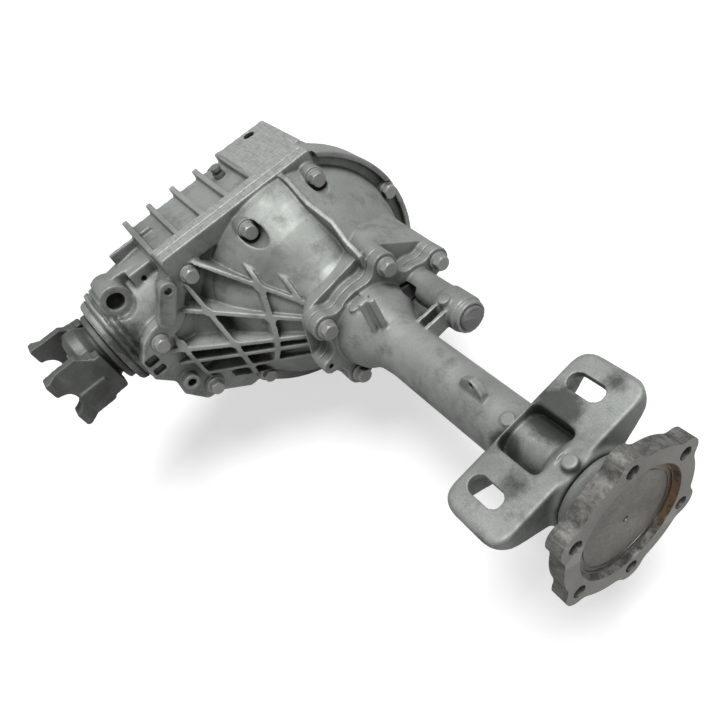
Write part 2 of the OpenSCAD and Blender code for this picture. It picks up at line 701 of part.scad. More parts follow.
// Seals and plain bearings
tube_brg_len = 10;
seal_len = 8;
tube_brg_out = 27;
rail_cap_r = 12;
spring_room_r = 10.5;
hub_bore_r = 26;
module lip_seal(x0, len, r_out, r_in) {
    turned([[x0, r_in], [x0, r_out], [x0 + len, r_out], [x0 + len, r_out - 3], [x0 + 2.5, r_out - 3.5],
        [x0 + 2.5, r_in + 3], [x0 + len - 1, r_in + 2], [x0 + len - 2, r_in]], 72);
}
module tube_seal() {
    color(black_rubber) on_axle()
        lip_seal(tube_end - seal_len - 0.5, seal_len, tube_brg_out, output_shaft_d / 2 + run_gap);
}
module tube_bearing() {
    color(gear_grey) on_axle() ring_x(tube_end - tube_brg_len - seal_len - 1, tube_end - seal_len - 1,
        tube_brg_out, output_shaft_d / 2 + run_gap);
}
module left_seal() {
    color(black_rubber) on_axle() mirror([1, 0, 0])
        lip_seal(-hub_end - seal_len, seal_len, hub_bore_r, output_shaft_d / 2 + run_gap);
}
module rail_cap() {
    color(steel_grey) in_case() translate([0, rail_y, rail_z])
        turned([[actuator_end - 19, 0], [actuator_end - 19, rail_cap_r], [actuator_end + 1, rail_cap_r],
            [actuator_end + 2.5, rail_cap_r - 1.5], [actuator_end + 2.5, 0]], 48);
}

// Output flanges: a scalloped plate with bolt lobes on a tapered hub
module output_flange_outline() {
    round_2d(12) union() {
        circle(r = flange_pcd / 2 + 4, $fn = 96);
        for (i = [0 : flange_bolt_count - 1]) rotate(flange_clock + i * 360 / flange_bolt_count)
            translate([flange_pcd / 2, 0]) circle(r = 12, $fn = 48);
    }
}
module output_flange(face, hub_back) {
    difference() {
        union() {
            slab(face - flange_t, face) output_flange_outline();
            turned([[face - hub_back, 0], [face - hub_back, 32], [face - hub_back + 6, 33], [face - 22, 37],
                [face - flange_t - 3, 46], [face - flange_t + 1, 52], [face - flange_t + 1, 0]], 96);
        }
        turned([[face - flange_recess_depth, 0], [face - flange_recess_depth, flange_recess_d / 2 - 2],
            [face - 1.5, flange_recess_d / 2], [face + 1, flange_recess_d / 2 + 1], [face + 1, 0]], 96);
        rod_x(face - flange_recess_depth - 4, face - flange_recess_depth + 1, flange_plate_d / 2, 96);
        turned([[face - 30, 0], [face - 30, 14], [face - 22, 24], [face - 12, 36], [face - 10, 36],
            [face - 10, 0]], 72);
        for (i = [0 : flange_bolt_count - 1]) rotate([flange_clock + i * 360 / flange_bolt_count, 0, 0])
            translate([0, flange_pcd / 2, 0]) rod_x(face - flange_t - 10, face + 1, flange_hole_d / 2, 48);
    }
}
hub_gap = 1.5;
output_end = neck_x - 6;
dog_r = tube_bore_d / 2 - 0.6;
pilot_r = 8;
spline_count = 24;
spline_w = 2.2;
spline_depth = 1.5;
module splines(x0, x1, r, depth) {
    for (i = [0 : spline_count - 1]) rotate([i * 360 / spline_count, 0, 0])
        translate([x0, -spline_w / 2, r - depth]) cube([x1 - x0, spline_w, depth + 1]);
}
module right_output_shaft() {
    color(steel_grey) on_axle() difference() {
        union() {
            output_flange(reach, collar_back - hub_gap);
            rod_x(output_end, reach - 31, output_shaft_d / 2, 72);
            difference() {
                rod_x(output_end, output_end + 34, dog_r, 72);
                splines(output_end - 1, output_end + 36, dog_r, spline_depth);
            }
        }
        rod_x(output_end - 1, output_end + 14, pilot_r, 48);
    }
}
module flange_plate() {
    face = reach - flange_recess_depth;
    color([0.5, 0.49, 0.46]) on_axle() difference() {
        rod_x(face - 4, face - 1, flange_plate_d / 2, 96);
        rod_x(face - 2, face, 2.5, 24);
        translate([face, 0, 0]) ring_x(-1.6, 1, flange_plate_d / 2 - 3, flange_plate_d / 2 - 4.5);
    }
}
left_face = -pinion_x - left_reach;
module left_output_shaft() {
    color(steel_grey) on_axle() {
        mirror([1, 0, 0]) output_flange(-left_face, -left_face + hub_end - hub_gap);
        rod_x(left_face + 30, -pinion_x - gear_face + 4, output_shaft_d / 2, 72);
    }
}
module intermediate_shaft() {
    color(gear_grey) on_axle() {
        rod_x(-pinion_x + gear_face - 4, output_end - 1, output_shaft_d / 2, 72);
        difference() {
            rod_x(output_end - 20, output_end - 1, dog_r, 72);
            splines(output_end - 22, output_end, dog_r, spline_depth);
        }
        rod_x(output_end - 2, output_end + 12, pilot_r - run_gap, 48);
    }
}

// Axle disconnect
collar_x = output_end + 6;
collar_w = 20;
collar_r = 29;
groove_r = 24;
module shift_collar() {
    color(gear_grey) on_axle() difference() {
        turned([[collar_x, 0], [collar_x, collar_r - 1], [collar_x + 1, collar_r], [collar_x + 5, collar_r],
            [collar_x + 5, groove_r], [collar_x + 14, groove_r], [collar_x + 14, collar_r],
            [collar_x + collar_w - 1, collar_r], [collar_x + collar_w, collar_r - 1],
            [collar_x + collar_w, 0]], 72);
        rod_x(collar_x - 1, collar_x + collar_w + 1, dog_r + run_gap, 72);
    }
}
fork_t = 7;
module shift_fork() {
    fork_x = collar_x + 9.5;
    color(steel_grey) in_case() {
        difference() {
            slab(fork_x - fork_t / 2, fork_x + fork_t / 2) difference() {
                union() {
                    circle(r = 33.5, $fn = 72);
                    polygon([[10, -14], [rail_y - 4, rail_z - 6], [rail_y - 4, rail_z + 6], [10, 20]]);
                }
                circle(r = groove_r + 0.6, $fn = 72);
                translate([-60, -60]) square([62, 120]);
            }
            translate([0, rail_y, rail_z]) rod_x(0, 300, 8, 32);
        }
        translate([0, rail_y, rail_z]) {
            rod_x(fork_x - 11, fork_x + 11, 9.2, 48);
            rod_x(rail_stop + shift_travel + 1.5, rail_far, rail_d / 2, 48);
        }
    }
}
rail_far = actuator_end - 26;
spring_x0 = neck_x + 36.5;
module fork_spring() {
    wire = 0.9;
    free = rail_far - 1 - spring_x0;
    color(gear_grey) in_case() translate([spring_x0 + wire, rail_y, rail_z])
        coil(5, 14, wire, 8.4, free - 2 * wire);
}
// A round wire wound along +X
module coil(turns, steps, wire, r, length) {
    n = turns * steps;
    sides = 6;
    points = [for (i = [0 : n]) for (k = [0 : sides - 1])
        let (a = 360 * i / steps, b = 360 * k / sides, rr = r + wire * cos(b))
        [length * i / n + wire * sin(b), rr * cos(a), rr * sin(a)]];
    walls = [for (i = [0 : n - 1]) for (k = [0 : sides - 1])
        let (a = i * sides + k, b = i * sides + (k + 1) % sides) [a, b, b + sides, a + sides]];
    start = [for (k = [sides - 1 : -1 : 0]) k];
    finish = [for (k = [0 : sides - 1]) n * sides + k];
    polyhedron(points, concat([start], walls, [finish]));
}

// Tapered roller bearings: the cone with its rollers and cage, and the cup outside them
module brg_cone(r_in, r_out, len, rollers) {
    mid_big = r_in + (r_out - r_in) * 0.42;
    mid_small = r_in + (r_out - r_in) * 0.22;
    rotate_extrude($fn = 72) polygon([[r_in, 0], [mid_small + 2.2, 0], [mid_small + 2.2, 2], [mid_small, 3],
        [mid_big, len - 4], [mid_big + 2.8, len - 3.6], [mid_big + 2.8, len], [r_in, len]]);
    roller_r = (r_out - r_in) * 0.16;
    for (i = [0 : rollers - 1]) rotate([0, 0, i * 360 / rollers])
        translate([(mid_small + mid_big) / 2 + roller_r + 0.1, 0, 3.6]) rotate([0, 8, 0])
            cylinder(r = roller_r, h = len - 8, $fn = 24);
}
module brg_cup(r_in, r_out, len) {
    mid_big = r_in + (r_out - r_in) * 0.42;
    mid_small = r_in + (r_out - r_in) * 0.22;
    roller_d = (r_out - r_in) * 0.32;
    slope = (mid_big - mid_small) / (len - 7);
    lift = roller_d + 2.4;
    rotate_extrude($fn = 72) polygon([[r_out, cup_end], [r_out, len - 1.5],
        [mid_small + lift + slope * (len - 4), len - 1.5], [mid_small + lift, cup_end]]);
}
side_rollers = 18;
pinion_rollers = 16;
module on_left_bearing() {
    on_axle() translate([left_brg_x, 0, 0]) rotate([0, -90, 0]) mirror([0, 0, 1]) children();
}
module on_right_bearing() {
    on_axle() translate([right_brg_x + side_brg_len, 0, 0]) rotate([0, -90, 0]) children();
}
module left_side_cone() {
    color(gear_grey) on_left_bearing() brg_cone(side_brg_in, side_brg_out, side_brg_len, side_rollers);
}
module left_side_cup() {
    color(gear_grey) on_left_bearing() brg_cup(side_brg_in, side_brg_out, side_brg_len);
}
module right_side_cone() {
    color(gear_grey) on_right_bearing() brg_cone(side_brg_in, side_brg_out, side_brg_len, side_rollers);
}
module right_side_cup() {
    color(gear_grey) on_right_bearing() brg_cup(side_brg_in, side_brg_out, side_brg_len);
}
cup_end = 2.5;
adjuster_len = 13;
module adjuster(x0, x1) {
    difference() {
        ring_x(x0, x1, adjuster_r, 27);
        rod_x(x0 - 1, x0 + 4, 31, 64);
        // spanner notches
        for (a = [0 : 45 : 315]) rotate([a, 0, 0]) translate([x0 - 1, 24, -3]) cube([x1 - x0 + 2, 6, 6]);
    }
}
module left_adjuster() {
    color(steel_grey) on_axle() mirror([1, 0, 0])
        adjuster(-left_brg_x - cup_end, -left_brg_x + adjuster_len);
}
module right_adjuster() {
    end = right_brg_x + side_brg_len;
    color(steel_grey) on_axle() adjuster(end - cup_end, end + adjuster_len);
}
module front_bearing_cone() {
    color(gear_grey) in_case() on_pinion() translate([0, 0, front_brg_y])
        brg_cone(pinion_shaft_d / 2, front_brg_out, front_brg_len, pinion_rollers);
}
module front_bearing_cup() {
    color(gear_grey) in_case() on_pinion() translate([0, 0, front_brg_y])
        brg_cup(pinion_shaft_d / 2, front_brg_out, front_brg_len);
}
module rear_bearing_cone() {
    color(gear_grey) in_case() on_pinion() translate([0, 0, rear_brg_y + rear_brg_len]) mirror([0, 0, 1])
        brg_cone(pinion_shaft_d / 2, rear_brg_out, rear_brg_len, pinion_rollers);
}
module rear_bearing_cup() {
    color(gear_grey) in_case() on_pinion() translate([0, 0, rear_brg_y + rear_brg_len]) mirror([0, 0, 1])
        brg_cup(pinion_shaft_d / 2, rear_brg_out, rear_brg_len);
}
module pinion_spacer() {
    r = pinion_shaft_d / 2;
    y0 = rear_brg_y + rear_brg_len;
    color(steel_grey) in_case() on_pinion()
        turned_p([[y0, r], [y0, r + 3], [y0 + 8, r + 3], [y0 + 13, r + 7], [y0 + 18, r + 3],
            [front_brg_y, r + 3], [front_brg_y, r], [y0 + 16, r], [y0 + 13, r + 3], [y0 + 10, r]], 48);
}

// Hypoid gear set: where the pitch surfaces touch, both follow from the tooth counts
ring_in = ring_r - 24;
gear_ratio = ring_teeth / pinion_teeth;
function touch_y(r) = sqrt(r * r - pinion_z * pinion_z);
function pinion_r(r) = r * r / (gear_ratio * touch_y(r));
toe_y = touch_y(ring_in);
heel_y = touch_y(ring_r);
toe_r = pinion_r(ring_in);
heel_r = pinion_r(ring_r);
addendum = 2;
dedendum = 3.2;
tooth_share = 0.33;
spiral = (heel_y - toe_y) * pinion_z / heel_y / ((toe_r + heel_r) / 2) * 180 / PI;
ring_face_in = -pinion_x + toe_r;
ring_face_out = -pinion_x + heel_r;
ring_back = 8;
carrier_pilot_r = 58;
ring_bolt_count = 10;
ring_bolt_r = 75;
ring_bolt_d = 10;
module at_ring_bolts() {
    for (i = [0 : ring_bolt_count - 1]) rotate([(i + 0.5) * 360 / ring_bolt_count, 0, 0])
        translate([0, ring_bolt_r, 0]) children();
}
module ring_gear() {
    color(gear_grey) on_axle() {
        difference() {
            turned([[ring_face_in + dedendum + 4, carrier_pilot_r], [ring_face_in + dedendum, ring_in - 4],
                [ring_face_in + dedendum, ring_in], [ring_face_out + dedendum, ring_r],
                [ring_back - 4, ring_r], [ring_back, ring_r - 5], [ring_back, carrier_pilot_r]], 128);
            at_ring_bolts() rod_x(ring_back - 20, ring_back + 1, ring_bolt_d / 2, 32);
        }
        intersection() {
            for (i = [0 : ring_teeth - 1]) rotate([i * 360 / ring_teeth + ring_phase, 0, 0]) ring_tooth();
            turned([[ring_face_in - addendum, ring_in], [ring_face_out - addendum, ring_r],
                [ring_face_out + dedendum + 1, ring_r], [ring_face_in + dedendum + 1, ring_in]], 128);
        }
    }
}
ring_phase = 0;
module ring_tooth() {
    half = 180 / ring_teeth * tooth_share;
    slab(ring_face_in - 6, ring_face_out + 5) polygon([for (r = [ring_in - 3, ring_r + 3]) for (s = [-1, 1])
        let (a = s * half * (r < ring_r ? 1 : -1)) [r * cos(a), r * sin(a)]]);
}
module pinion_outline(r) {
    step = 360 / pinion_teeth;
    root = r - dedendum;
    tip = r + addendum;
    foot = tooth_share * 0.62;
    land = tooth_share * 0.34;
    tooth = [[-0.5, root], [-foot, root], [-land, tip], [land, tip], [foot, root]];
    polygon([for (i = [0 : pinion_teeth - 1]) for (p = tooth)
        let (a = (i + p[0]) * step) [p[1] * cos(a), p[1] * sin(a)]]);
}
pinion_phase = 7.8;
module pinion_gear() {
    head = heel_y - toe_y;
    color(gear_grey) in_case() on_pinion() {
        rotate([0, 0, pinion_phase]) translate([0, 0, toe_y])
            linear_extrude(head, twist = -spiral, scale = heel_r / toe_r, slices = 10) pinion_outline(toe_r);
        turned_p([[toe_y - 4, 0], [toe_y - 4, 17], [toe_y + 1, 21], [heel_y - 1, 27], [heel_y + 6, 29],
            [rear_brg_y, 27], [rear_brg_y, pinion_shaft_d / 2], [yoke_base, pinion_shaft_d / 2],
            [yoke_base, thread_r], [yoke_base + 22, thread_r], [yoke_base + 23, thread_r - 1],
            [yoke_base + 23, 0]], 72);
    }
}

// Pinion yoke, deflector, nut and seal
yoke_base = prong_end - 44;
yoke_hub_y = front_brg_y + front_brg_len;
yoke_hub_r = 25;
cap_bolt_r = 3.4;
thread_r = 12;
module ear_profile() {
    // drawn as [height, distance out]
    round_out(3) round_2d(4) difference() {
        union() {
            translate([-prong_span / 2, yoke_base - 2]) square([prong_span, prong_end - yoke_base + 2]);
            translate([-24, yoke_base - 14]) square([48, 20]);
        }
        translate([0, prong_end]) circle(r = saddle_d / 2 + 0.8, $fn = 64);
        for (s = [-1, 1]) translate([s * (prong_span / 2 + 8), yoke_base - 6]) circle(r = 15, $fn = 48);
    }
}
module pinion_yoke() {
    half = yoke_span / 2;
    color(yoke_grey) in_case() on_pinion() difference() {
        union() {
            rod_p(yoke_hub_y, yoke_base - 12, yoke_hub_r, 72);
            turned_p([[deflector_y + 3, 0], [deflector_y + 3, 29], [yoke_base - 13, 31], [yoke_base - 6, 36],
                [yoke_base + 4, 37], [yoke_base + 12, 31], [yoke_base + 12, 0]], 72);
            for (s = [0, 1]) mirror([s, 0, 0]) {
                translate([half - ear_t, 0, 0]) rotate([90, 0, 90]) linear_extrude(ear_t) ear_profile();
                translate([12, 0, yoke_base - 8]) rotate([90, 0, 90]) linear_extrude(half - 12 - 2)
                    round_out(4) translate([-26, 0]) square([52, 19]);
            }
        }
        // saddles for the joint's bearing caps
        translate([-half - 1, 0, prong_end]) rotate([0, 90, 0])
            cylinder(r = saddle_d / 2, h = yoke_span + 2, $fn = 72);
        translate([-half - 1, -60, prong_end]) cube([yoke_span + 2, 120, 40]);
        for (x = [-1, 1]) for (y = [-1, 1])
            translate([x * (half - ear_t / 2), y * (saddle_d / 2 + 10), prong_end - 16])
                cylinder(r = cap_bolt_r, h = 20, $fn = 24);
        rod_p(yoke_hub_y - 1, yoke_base + 20, pinion_shaft_d / 2, 72);
        rod_p(yoke_base, yoke_base + 40, 21, 72);
    }
}
deflector_y = nose_end + 3;
module dust_deflector() {
    r = deflector_d / 2;
    y = deflector_y;
    color(steel_grey) in_case() on_pinion()
        turned_p([[y, yoke_hub_r], [y, r - 3], [y - 1.5, r - 1.5], [y - 1.5, r], [y + 4, r],
            [y + 5, r - 1.5], [y + 5, r - 5], [y + 3, r - 7], [y + 3, yoke_hub_r]], 72);
}
module pinion_seal() {
    color(black_rubber) in_case() on_pinion() turned_p([[seal_y, yoke_hub_r + run_gap], [seal_y, seal_out],
        [nose_end - 0.5, seal_out], [nose_end + 0.5, seal_out - 1], [nose_end + 0.5, yoke_hub_r + 5],
        [nose_end - 2, yoke_hub_r + run_gap]], 72);
}
module pinion_washer() {
    color(bolt_grey) in_case() on_pinion() difference() {
        rod_p(yoke_base, yoke_base + 3, 19, 48);
        rod_p(yoke_base - 1, yoke_base + 4, thread_r, 48);
    }
}
module pinion_nut() {
    color(bolt_grey) in_case() on_pinion() difference() {
        union() {
            rod_p(yoke_base + 3, yoke_base + 17, 18.5, 6);
            rod_p(yoke_base + 3, yoke_base + 20, 14, 48);
        }
        rod_p(yoke_base + 2, yoke_base + 21, thread_r, 48);
    }
}

// Differential case, its bolts, cross pin and the bevel gears
gear_cone = 38;
side_angle = atan(side_teeth / spider_teeth);
side_hub = 14;
spider_hub = 10.5;
gear_face = gear_cone * cos(side_angle);
spider_face = gear_cone * sin(side_angle);
bevel_add = 1.5;
bevel_ded = 4.4;
spider_add = 2.1;
spider_ded = 2.6;
cross_pin_len = 108;
bevel_share = 0.34;
carrier_flange_r = 85;
carrier_flange_t = 9;
module diff_case() {
    left_hub = left_brg_x + side_brg_len;
    color(cast_grey) on_axle() difference() {
        turned([[left_brg_x + 1, 0], [left_brg_x + 1, side_brg_in], [left_hub, side_brg_in], [left_hub, 31],
            [left_hub + 8, 42], [left_hub + 20, 52], [-pinion_x - 22, 55], [-pinion_x + 28, 55],
            [-20, carrier_pilot_r], [ring_back, carrier_pilot_r],
            [ring_back, carrier_flange_r], [ring_back + carrier_flange_t, carrier_flange_r],
            [ring_back + carrier_flange_t, 62], [28, 38], [right_brg_x, 32], [right_brg_x, side_brg_in],
            [right_brg_x + side_brg_len - 1, side_brg_in], [right_brg_x + side_brg_len - 1, 0]], 96);
        // room for the bevel gears
        turned([[-pinion_x - gear_face - side_hub - 0.1, 0], [-pinion_x - gear_face - side_hub - 0.1, 34],
            [-pinion_x - 24, 46], [-pinion_x + 24, 46], [-pinion_x + gear_face + side_hub + 0.1, 34],
            [-pinion_x + gear_face + side_hub + 0.1, 0]], 96);
        rod_x(left_brg_x, right_brg_x + side_brg_len, output_shaft_d / 2 + run_gap, 72);
        rotate([-nose_tilt, 0, 0]) {
            translate([-pinion_x, 80, 0]) rotate([90, 0, 0]) cylinder(r = cross_pin_d / 2, h = 160, $fn = 48);
            // two windows that the bevel gears go in through
            for (s = [-1, 1]) translate([-pinion_x, 0, s * 50])
                cylinder(r = 27, h = 60, center = true, $fn = 64);
        }
        at_ring_bolts() rod_x(ring_back - 1, ring_back + carrier_flange_t + 1, ring_bolt_d / 2 + 0.3, 32);
    }
}
module ring_bolts() {
    color(bolt_grey) on_axle() at_ring_bolts() translate([ring_back + carrier_flange_t, 0, 0]) {
        rod_x(-carrier_flange_t - 18, 0, ring_bolt_d / 2, 32);
        rod_x(0, 7, 8.5, 6);
    }
}
module in_carrier() { on_axle() rotate([-nose_tilt, 0, 0]) translate([-pinion_x, 0, 0]) children(); }
module cross_pin() {
    color(gear_grey) in_carrier() rotate([90, 0, 0])
        cylinder(r = cross_pin_d / 2, h = cross_pin_len, center = true, $fn = 48);
}
module bevel_outline(teeth, pitch_r, add, ded, share) {
    step = 360 / teeth;
    foot = share * 0.72;
    land = share * 0.3;
    tooth = [[-0.5, -ded], [-foot, -ded], [-land, add], [land, add], [foot, -ded]];
    polygon([for (i = [0 : teeth - 1]) for (p = tooth)
        let (a = (i + p[0]) * step, r = pitch_r + p[1]) [r * cos(a), r * sin(a)]]);
}
// A bevel gear with its apex at the origin and its back towards +Z
module bevel_gear(teeth, pitch_r, face, add, ded, hub_r, hub_len, bore, share) {
    inner = 0.62;
    difference() {
        union() {
            translate([0, 0, face * inner]) linear_extrude(face * (1 - inner), scale = 1 / inner)
                scale(inner) bevel_outline(teeth, pitch_r, add, ded, share);
            translate([0, 0, face - 0.5]) cylinder(r = hub_r, h = hub_len + 0.5, $fn = 72);
        }
        translate([0, 0, -1]) cylinder(r = bore, h = face + hub_len + 2, $fn = 64);
    }
}
module side_gear() {
    bevel_gear(side_teeth, spider_face, gear_face, bevel_add, bevel_ded, 26, side_hub,
        output_shaft_d / 2, bevel_share);
}
module spider_gear() {
    rotate([0, 0, 180 / spider_teeth])
        bevel_gear(spider_teeth, gear_face, spider_face, spider_add, spider_ded, 15, spider_hub,
            cross_pin_d / 2 + run_gap, bevel_share);
}
module right_side_gear() {
    color(gear_grey) in_carrier() rotate([0, 90, 0]) rotate([0, 0, 90]) side_gear();
}
module left_side_gear() {
    color(gear_grey) in_carrier() rotate([0, -90, 0]) rotate([0, 0, 90]) side_gear();
}
module front_spider_gear() { color(gear_grey) in_carrier() rotate([90, 0, 0]) spider_gear(); }
module rear_spider_gear() { color(gear_grey) in_carrier() rotate([-90, 0, 0]) spider_gear(); }

case_left();
case_right();
tube_housing();
case_bolts();
tube_bolts();
dowel_pins();
fill_plug();
drain_plug();
vent();
rail_cap();
right_output_shaft();
flange_plate();
left_output_shaft();
intermediate_shaft();
tube_seal();
tube_bearing();
left_seal();
pinion_gear();
pinion_yoke();
dust_deflector();
pinion_nut();
pinion_washer();
pinion_seal();
pinion_spacer();
front_bearing_cone();
front_bearing_cup();
rear_bearing_cone();
rear_bearing_cup();
ring_gear();
ring_bolts();
diff_case();
cross_pin();
front_spider_gear();
rear_spider_gear();
left_side_gear();
right_side_gear();
left_side_cone();
right_side_cone();
left_side_cup();
right_side_cup();
left_adjuster();
right_adjuster();
shift_fork();
shift_collar();
fork_spring();
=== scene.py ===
# Front differential: looks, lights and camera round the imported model.
import bpy
import bmesh
import json
import math
from mathutils import Matrix, Vector

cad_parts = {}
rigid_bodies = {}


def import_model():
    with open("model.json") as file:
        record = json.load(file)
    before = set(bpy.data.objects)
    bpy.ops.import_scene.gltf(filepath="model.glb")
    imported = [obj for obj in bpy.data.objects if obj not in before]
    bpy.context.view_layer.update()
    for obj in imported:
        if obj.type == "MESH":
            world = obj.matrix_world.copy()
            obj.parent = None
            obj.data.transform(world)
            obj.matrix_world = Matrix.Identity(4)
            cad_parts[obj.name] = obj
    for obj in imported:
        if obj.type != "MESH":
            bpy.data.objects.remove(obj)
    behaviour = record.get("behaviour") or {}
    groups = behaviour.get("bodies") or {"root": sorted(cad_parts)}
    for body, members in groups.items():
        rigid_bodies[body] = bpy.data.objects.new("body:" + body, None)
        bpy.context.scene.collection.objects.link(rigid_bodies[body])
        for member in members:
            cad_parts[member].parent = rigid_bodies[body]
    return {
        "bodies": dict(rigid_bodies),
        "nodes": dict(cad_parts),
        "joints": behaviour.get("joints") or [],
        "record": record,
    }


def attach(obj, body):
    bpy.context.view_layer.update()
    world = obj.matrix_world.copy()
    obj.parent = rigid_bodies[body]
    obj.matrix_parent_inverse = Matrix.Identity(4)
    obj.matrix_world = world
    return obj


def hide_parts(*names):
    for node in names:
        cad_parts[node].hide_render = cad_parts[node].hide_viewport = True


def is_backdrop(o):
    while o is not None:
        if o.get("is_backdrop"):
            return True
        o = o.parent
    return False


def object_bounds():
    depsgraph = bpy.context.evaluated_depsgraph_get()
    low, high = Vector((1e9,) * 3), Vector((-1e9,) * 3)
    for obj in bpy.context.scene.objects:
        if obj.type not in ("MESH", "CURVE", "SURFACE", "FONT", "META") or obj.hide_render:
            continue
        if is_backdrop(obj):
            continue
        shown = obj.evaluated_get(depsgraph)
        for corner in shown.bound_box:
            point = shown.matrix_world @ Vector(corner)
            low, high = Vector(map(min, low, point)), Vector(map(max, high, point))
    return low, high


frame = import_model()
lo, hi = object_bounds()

nodes = frame["nodes"]
cadBox = [list(lo), list(hi)]
print("frame loaded:", len(nodes), "nodes")


# Materials

def newMaterial(name):
    mat = bpy.data.materials.new(name)
    mat.use_nodes = True
    tree = mat.node_tree
    shader = next(n for n in tree.nodes if n.type == "BSDF_PRINCIPLED")
    return mat, tree, shader


def noise(tree, place, scale, detail=4.0, rough=0.55, stretch=None):
    coords = place
    if stretch:
        mapping = tree.nodes.new("ShaderNodeMapping")
        mapping.inputs["Scale"].default_value = stretch
        tree.links.new(place, mapping.inputs["Vector"])
        coords = mapping.outputs["Vector"]
    node = tree.nodes.new("ShaderNodeTexNoise")
    node.inputs["Scale"].default_value = scale
    node.inputs["Detail"].default_value = detail
    node.inputs["Roughness"].default_value = rough
    tree.links.new(coords, node.inputs["Vector"])
    return node.outputs["Fac"]


def ramp(tree, source, stops):
    node = tree.nodes.new("ShaderNodeValToRGB")
    node.color_ramp.elements[0].position = stops[0][0]
    node.color_ramp.elements[0].color = (*stops[0][1], 1)
    node.color_ramp.elements[1].position = stops[-1][0]
    node.color_ramp.elements[1].color = (*stops[-1][1], 1)
    for spot, colour in stops[1:-1]:
        element = node.color_ramp.elements.new(spot)
        element.color = (*colour, 1)
    tree.links.new(source, node.inputs["Fac"])
    return node.outputs["Color"]


def blendColours(tree, factor, first, second, mode="MIX"):
    node = tree.nodes.new("ShaderNodeMix")
    node.data_type = "RGBA"
    node.blend_type = mode
    for socket, value in (("Factor", factor), ("A", first), ("B", second)):
        target = [s for s in node.inputs if s.name == socket and s.enabled][0]
        if isinstance(value, bpy.types.NodeSocket):
            tree.links.new(value, target)
        elif isinstance(value, (int, float)):
            target.default_value = value
        else:
            target.default_value = (*value, 1)
    return [s for s in node.outputs if s.enabled][0]


def maths(tree, operation, first, second=None, clamp=False):
    node = tree.nodes.new("ShaderNodeMath")
    node.operation = operation
    node.use_clamp = clamp
    for index, value in enumerate((first, second)):
        if value is None:
            continue
        if isinstance(value, bpy.types.NodeSocket):
            tree.links.new(value, node.inputs[index])
        else:
            node.inputs[index].default_value = value
    return node.outputs[0]


def scaled(colour, share):
    return tuple(min(1, c * share) for c in colour)


def greyRamp(tree, source, stops):
    return ramp(tree, source, [(spot, (shade,) * 3) for spot, shade in stops])


def inverse(tree, source):
    return maths(tree, "SUBTRACT", 1.0, source, clamp=True)


def objectPlace(tree):
    return tree.nodes.new("ShaderNodeTexCoord").outputs["Object"]


def axesOf(tree, source):
    split = tree.nodes.new("ShaderNodeSeparateXYZ")
    tree.links.new(source, split.inputs[0])
    return split.outputs


def facing(tree, axis):
    # how far the surface faces along one of the object's axes, from -1 to 1
    return axesOf(tree, tree.nodes.new("ShaderNodeTexCoord").outputs["Normal"])[axis]


def awayFromAxle(tree, axes):
    squares = [maths(tree, "MULTIPLY", axes[axis], axes[axis]) for axis in ("Y", "Z")]
    return maths(tree, "SQRT", maths(tree, "ADD", *squares))


def spread(tree, source, low, high, top=1.0):
    # 0 below low, top above high
    node = tree.nodes.new("ShaderNodeMapRange")
    node.inputs["From Min"].default_value = low
    node.inputs["From Max"].default_value = high
    node.inputs["To Max"].default_value = top
    tree.links.new(source, node.inputs["Value"])
    return node.outputs["Result"]


def nearTo(tree, place, centre, radius):
    # 1 at a point of the object, 0 a radius away
    away = tree.nodes.new("ShaderNodeVectorMath")
    away.operation = "DISTANCE"
    away.inputs[1].default_value = centre
    tree.links.new(place, away.inputs[0])
    return inverse(tree, maths(tree, "DIVIDE", away.outputs["Value"], radius))


def crevice(tree, reach, low=0.3, high=0.85):
    # painted shade from ambient occlusion: 0 in the open, 1 deep in a corner
    node = tree.nodes.new("ShaderNodeAmbientOcclusion")
    node.samples = 6
    node.inputs["Distance"].default_value = reach
    return inverse(tree, spread(tree, node.outputs["AO"], low, high))


def bump(tree, shader, layers):
    # layers of (height source, strength, distance in metres)
    last = None
    for height, strength, distance in layers:
        node = tree.nodes.new("ShaderNodeBump")
        node.inputs["Strength"].default_value = strength
        node.inputs["Distance"].default_value = distance
        tree.links.new(height, node.inputs["Height"])
        if last:
            tree.links.new(last, node.inputs["Normal"])
        last = node.outputs["Normal"]
    tree.links.new(last, shader.inputs["Normal"])


def paintedEdgeHighlight(tree, bright=0.6, width=0.1):
    # painted highlight: brighter where the surface is convex
    geometry = tree.nodes.new("ShaderNodeNewGeometry")
    flat = 0.51
    return spread(tree, geometry.outputs["Pointiness"], flat, flat + width, bright)


def grained(tree, base, grain, stops):
    return blendColours(tree, 1.0, base, greyRamp(tree, grain, stops), "MULTIPLY")


castLook = {
    "light": (0.38, 0.4, 0.376),
    "mid": (0.3, 0.316, 0.296),
    "dark": (0.195, 0.208, 0.19),
    "stain": (0.085, 0.09, 0.081),
    # painted shade colour for the corners
    "paintedCornerShade": (0.045, 0.049, 0.043),
    "darkMarks": (0.03, 0.032, 0.028),
    # painted highlight colour for convex edges
    "edge": (0.56, 0.575, 0.555),
    "milled": (0.5, 0.52, 0.495),
    "milledAbove": (0.1166, 0.0004),
    "metallic": 0.3,
    "rough": 0.5,
    "crevice": 0.02,
    # dark marks at listed places: place, radius, strength
    "marks": [((-0.078, 0.026, 0.016), 0.03, 2.2), ((-0.094, -0.018, 0.018), 0.02, 1.5),
              ((-0.446, -0.178, 0.078), 0.034, 1.25), ((-0.455, -0.185, 0.035), 0.045, 1.0),
              ((-0.062, -0.034, 0.033), 0.018, 0.75), ((-0.085, 0.036, 0.033), 0.017, 0.7),
              ((-0.06, 0.064, 0.032), 0.016, 0.75), ((-0.052, -0.079, 0.02), 0.016, 1.0),
              ((-0.19, -0.024, 0.0), 0.028, 0.55), ((-0.035, -0.03, -0.02), 0.02, 0.7),
              ((-0.35, -0.025, 0.092), 0.016, 0.35), ((-0.37, 0.0, 0.104), 0.014, 0.3)],
}
tilt = math.radians(7)


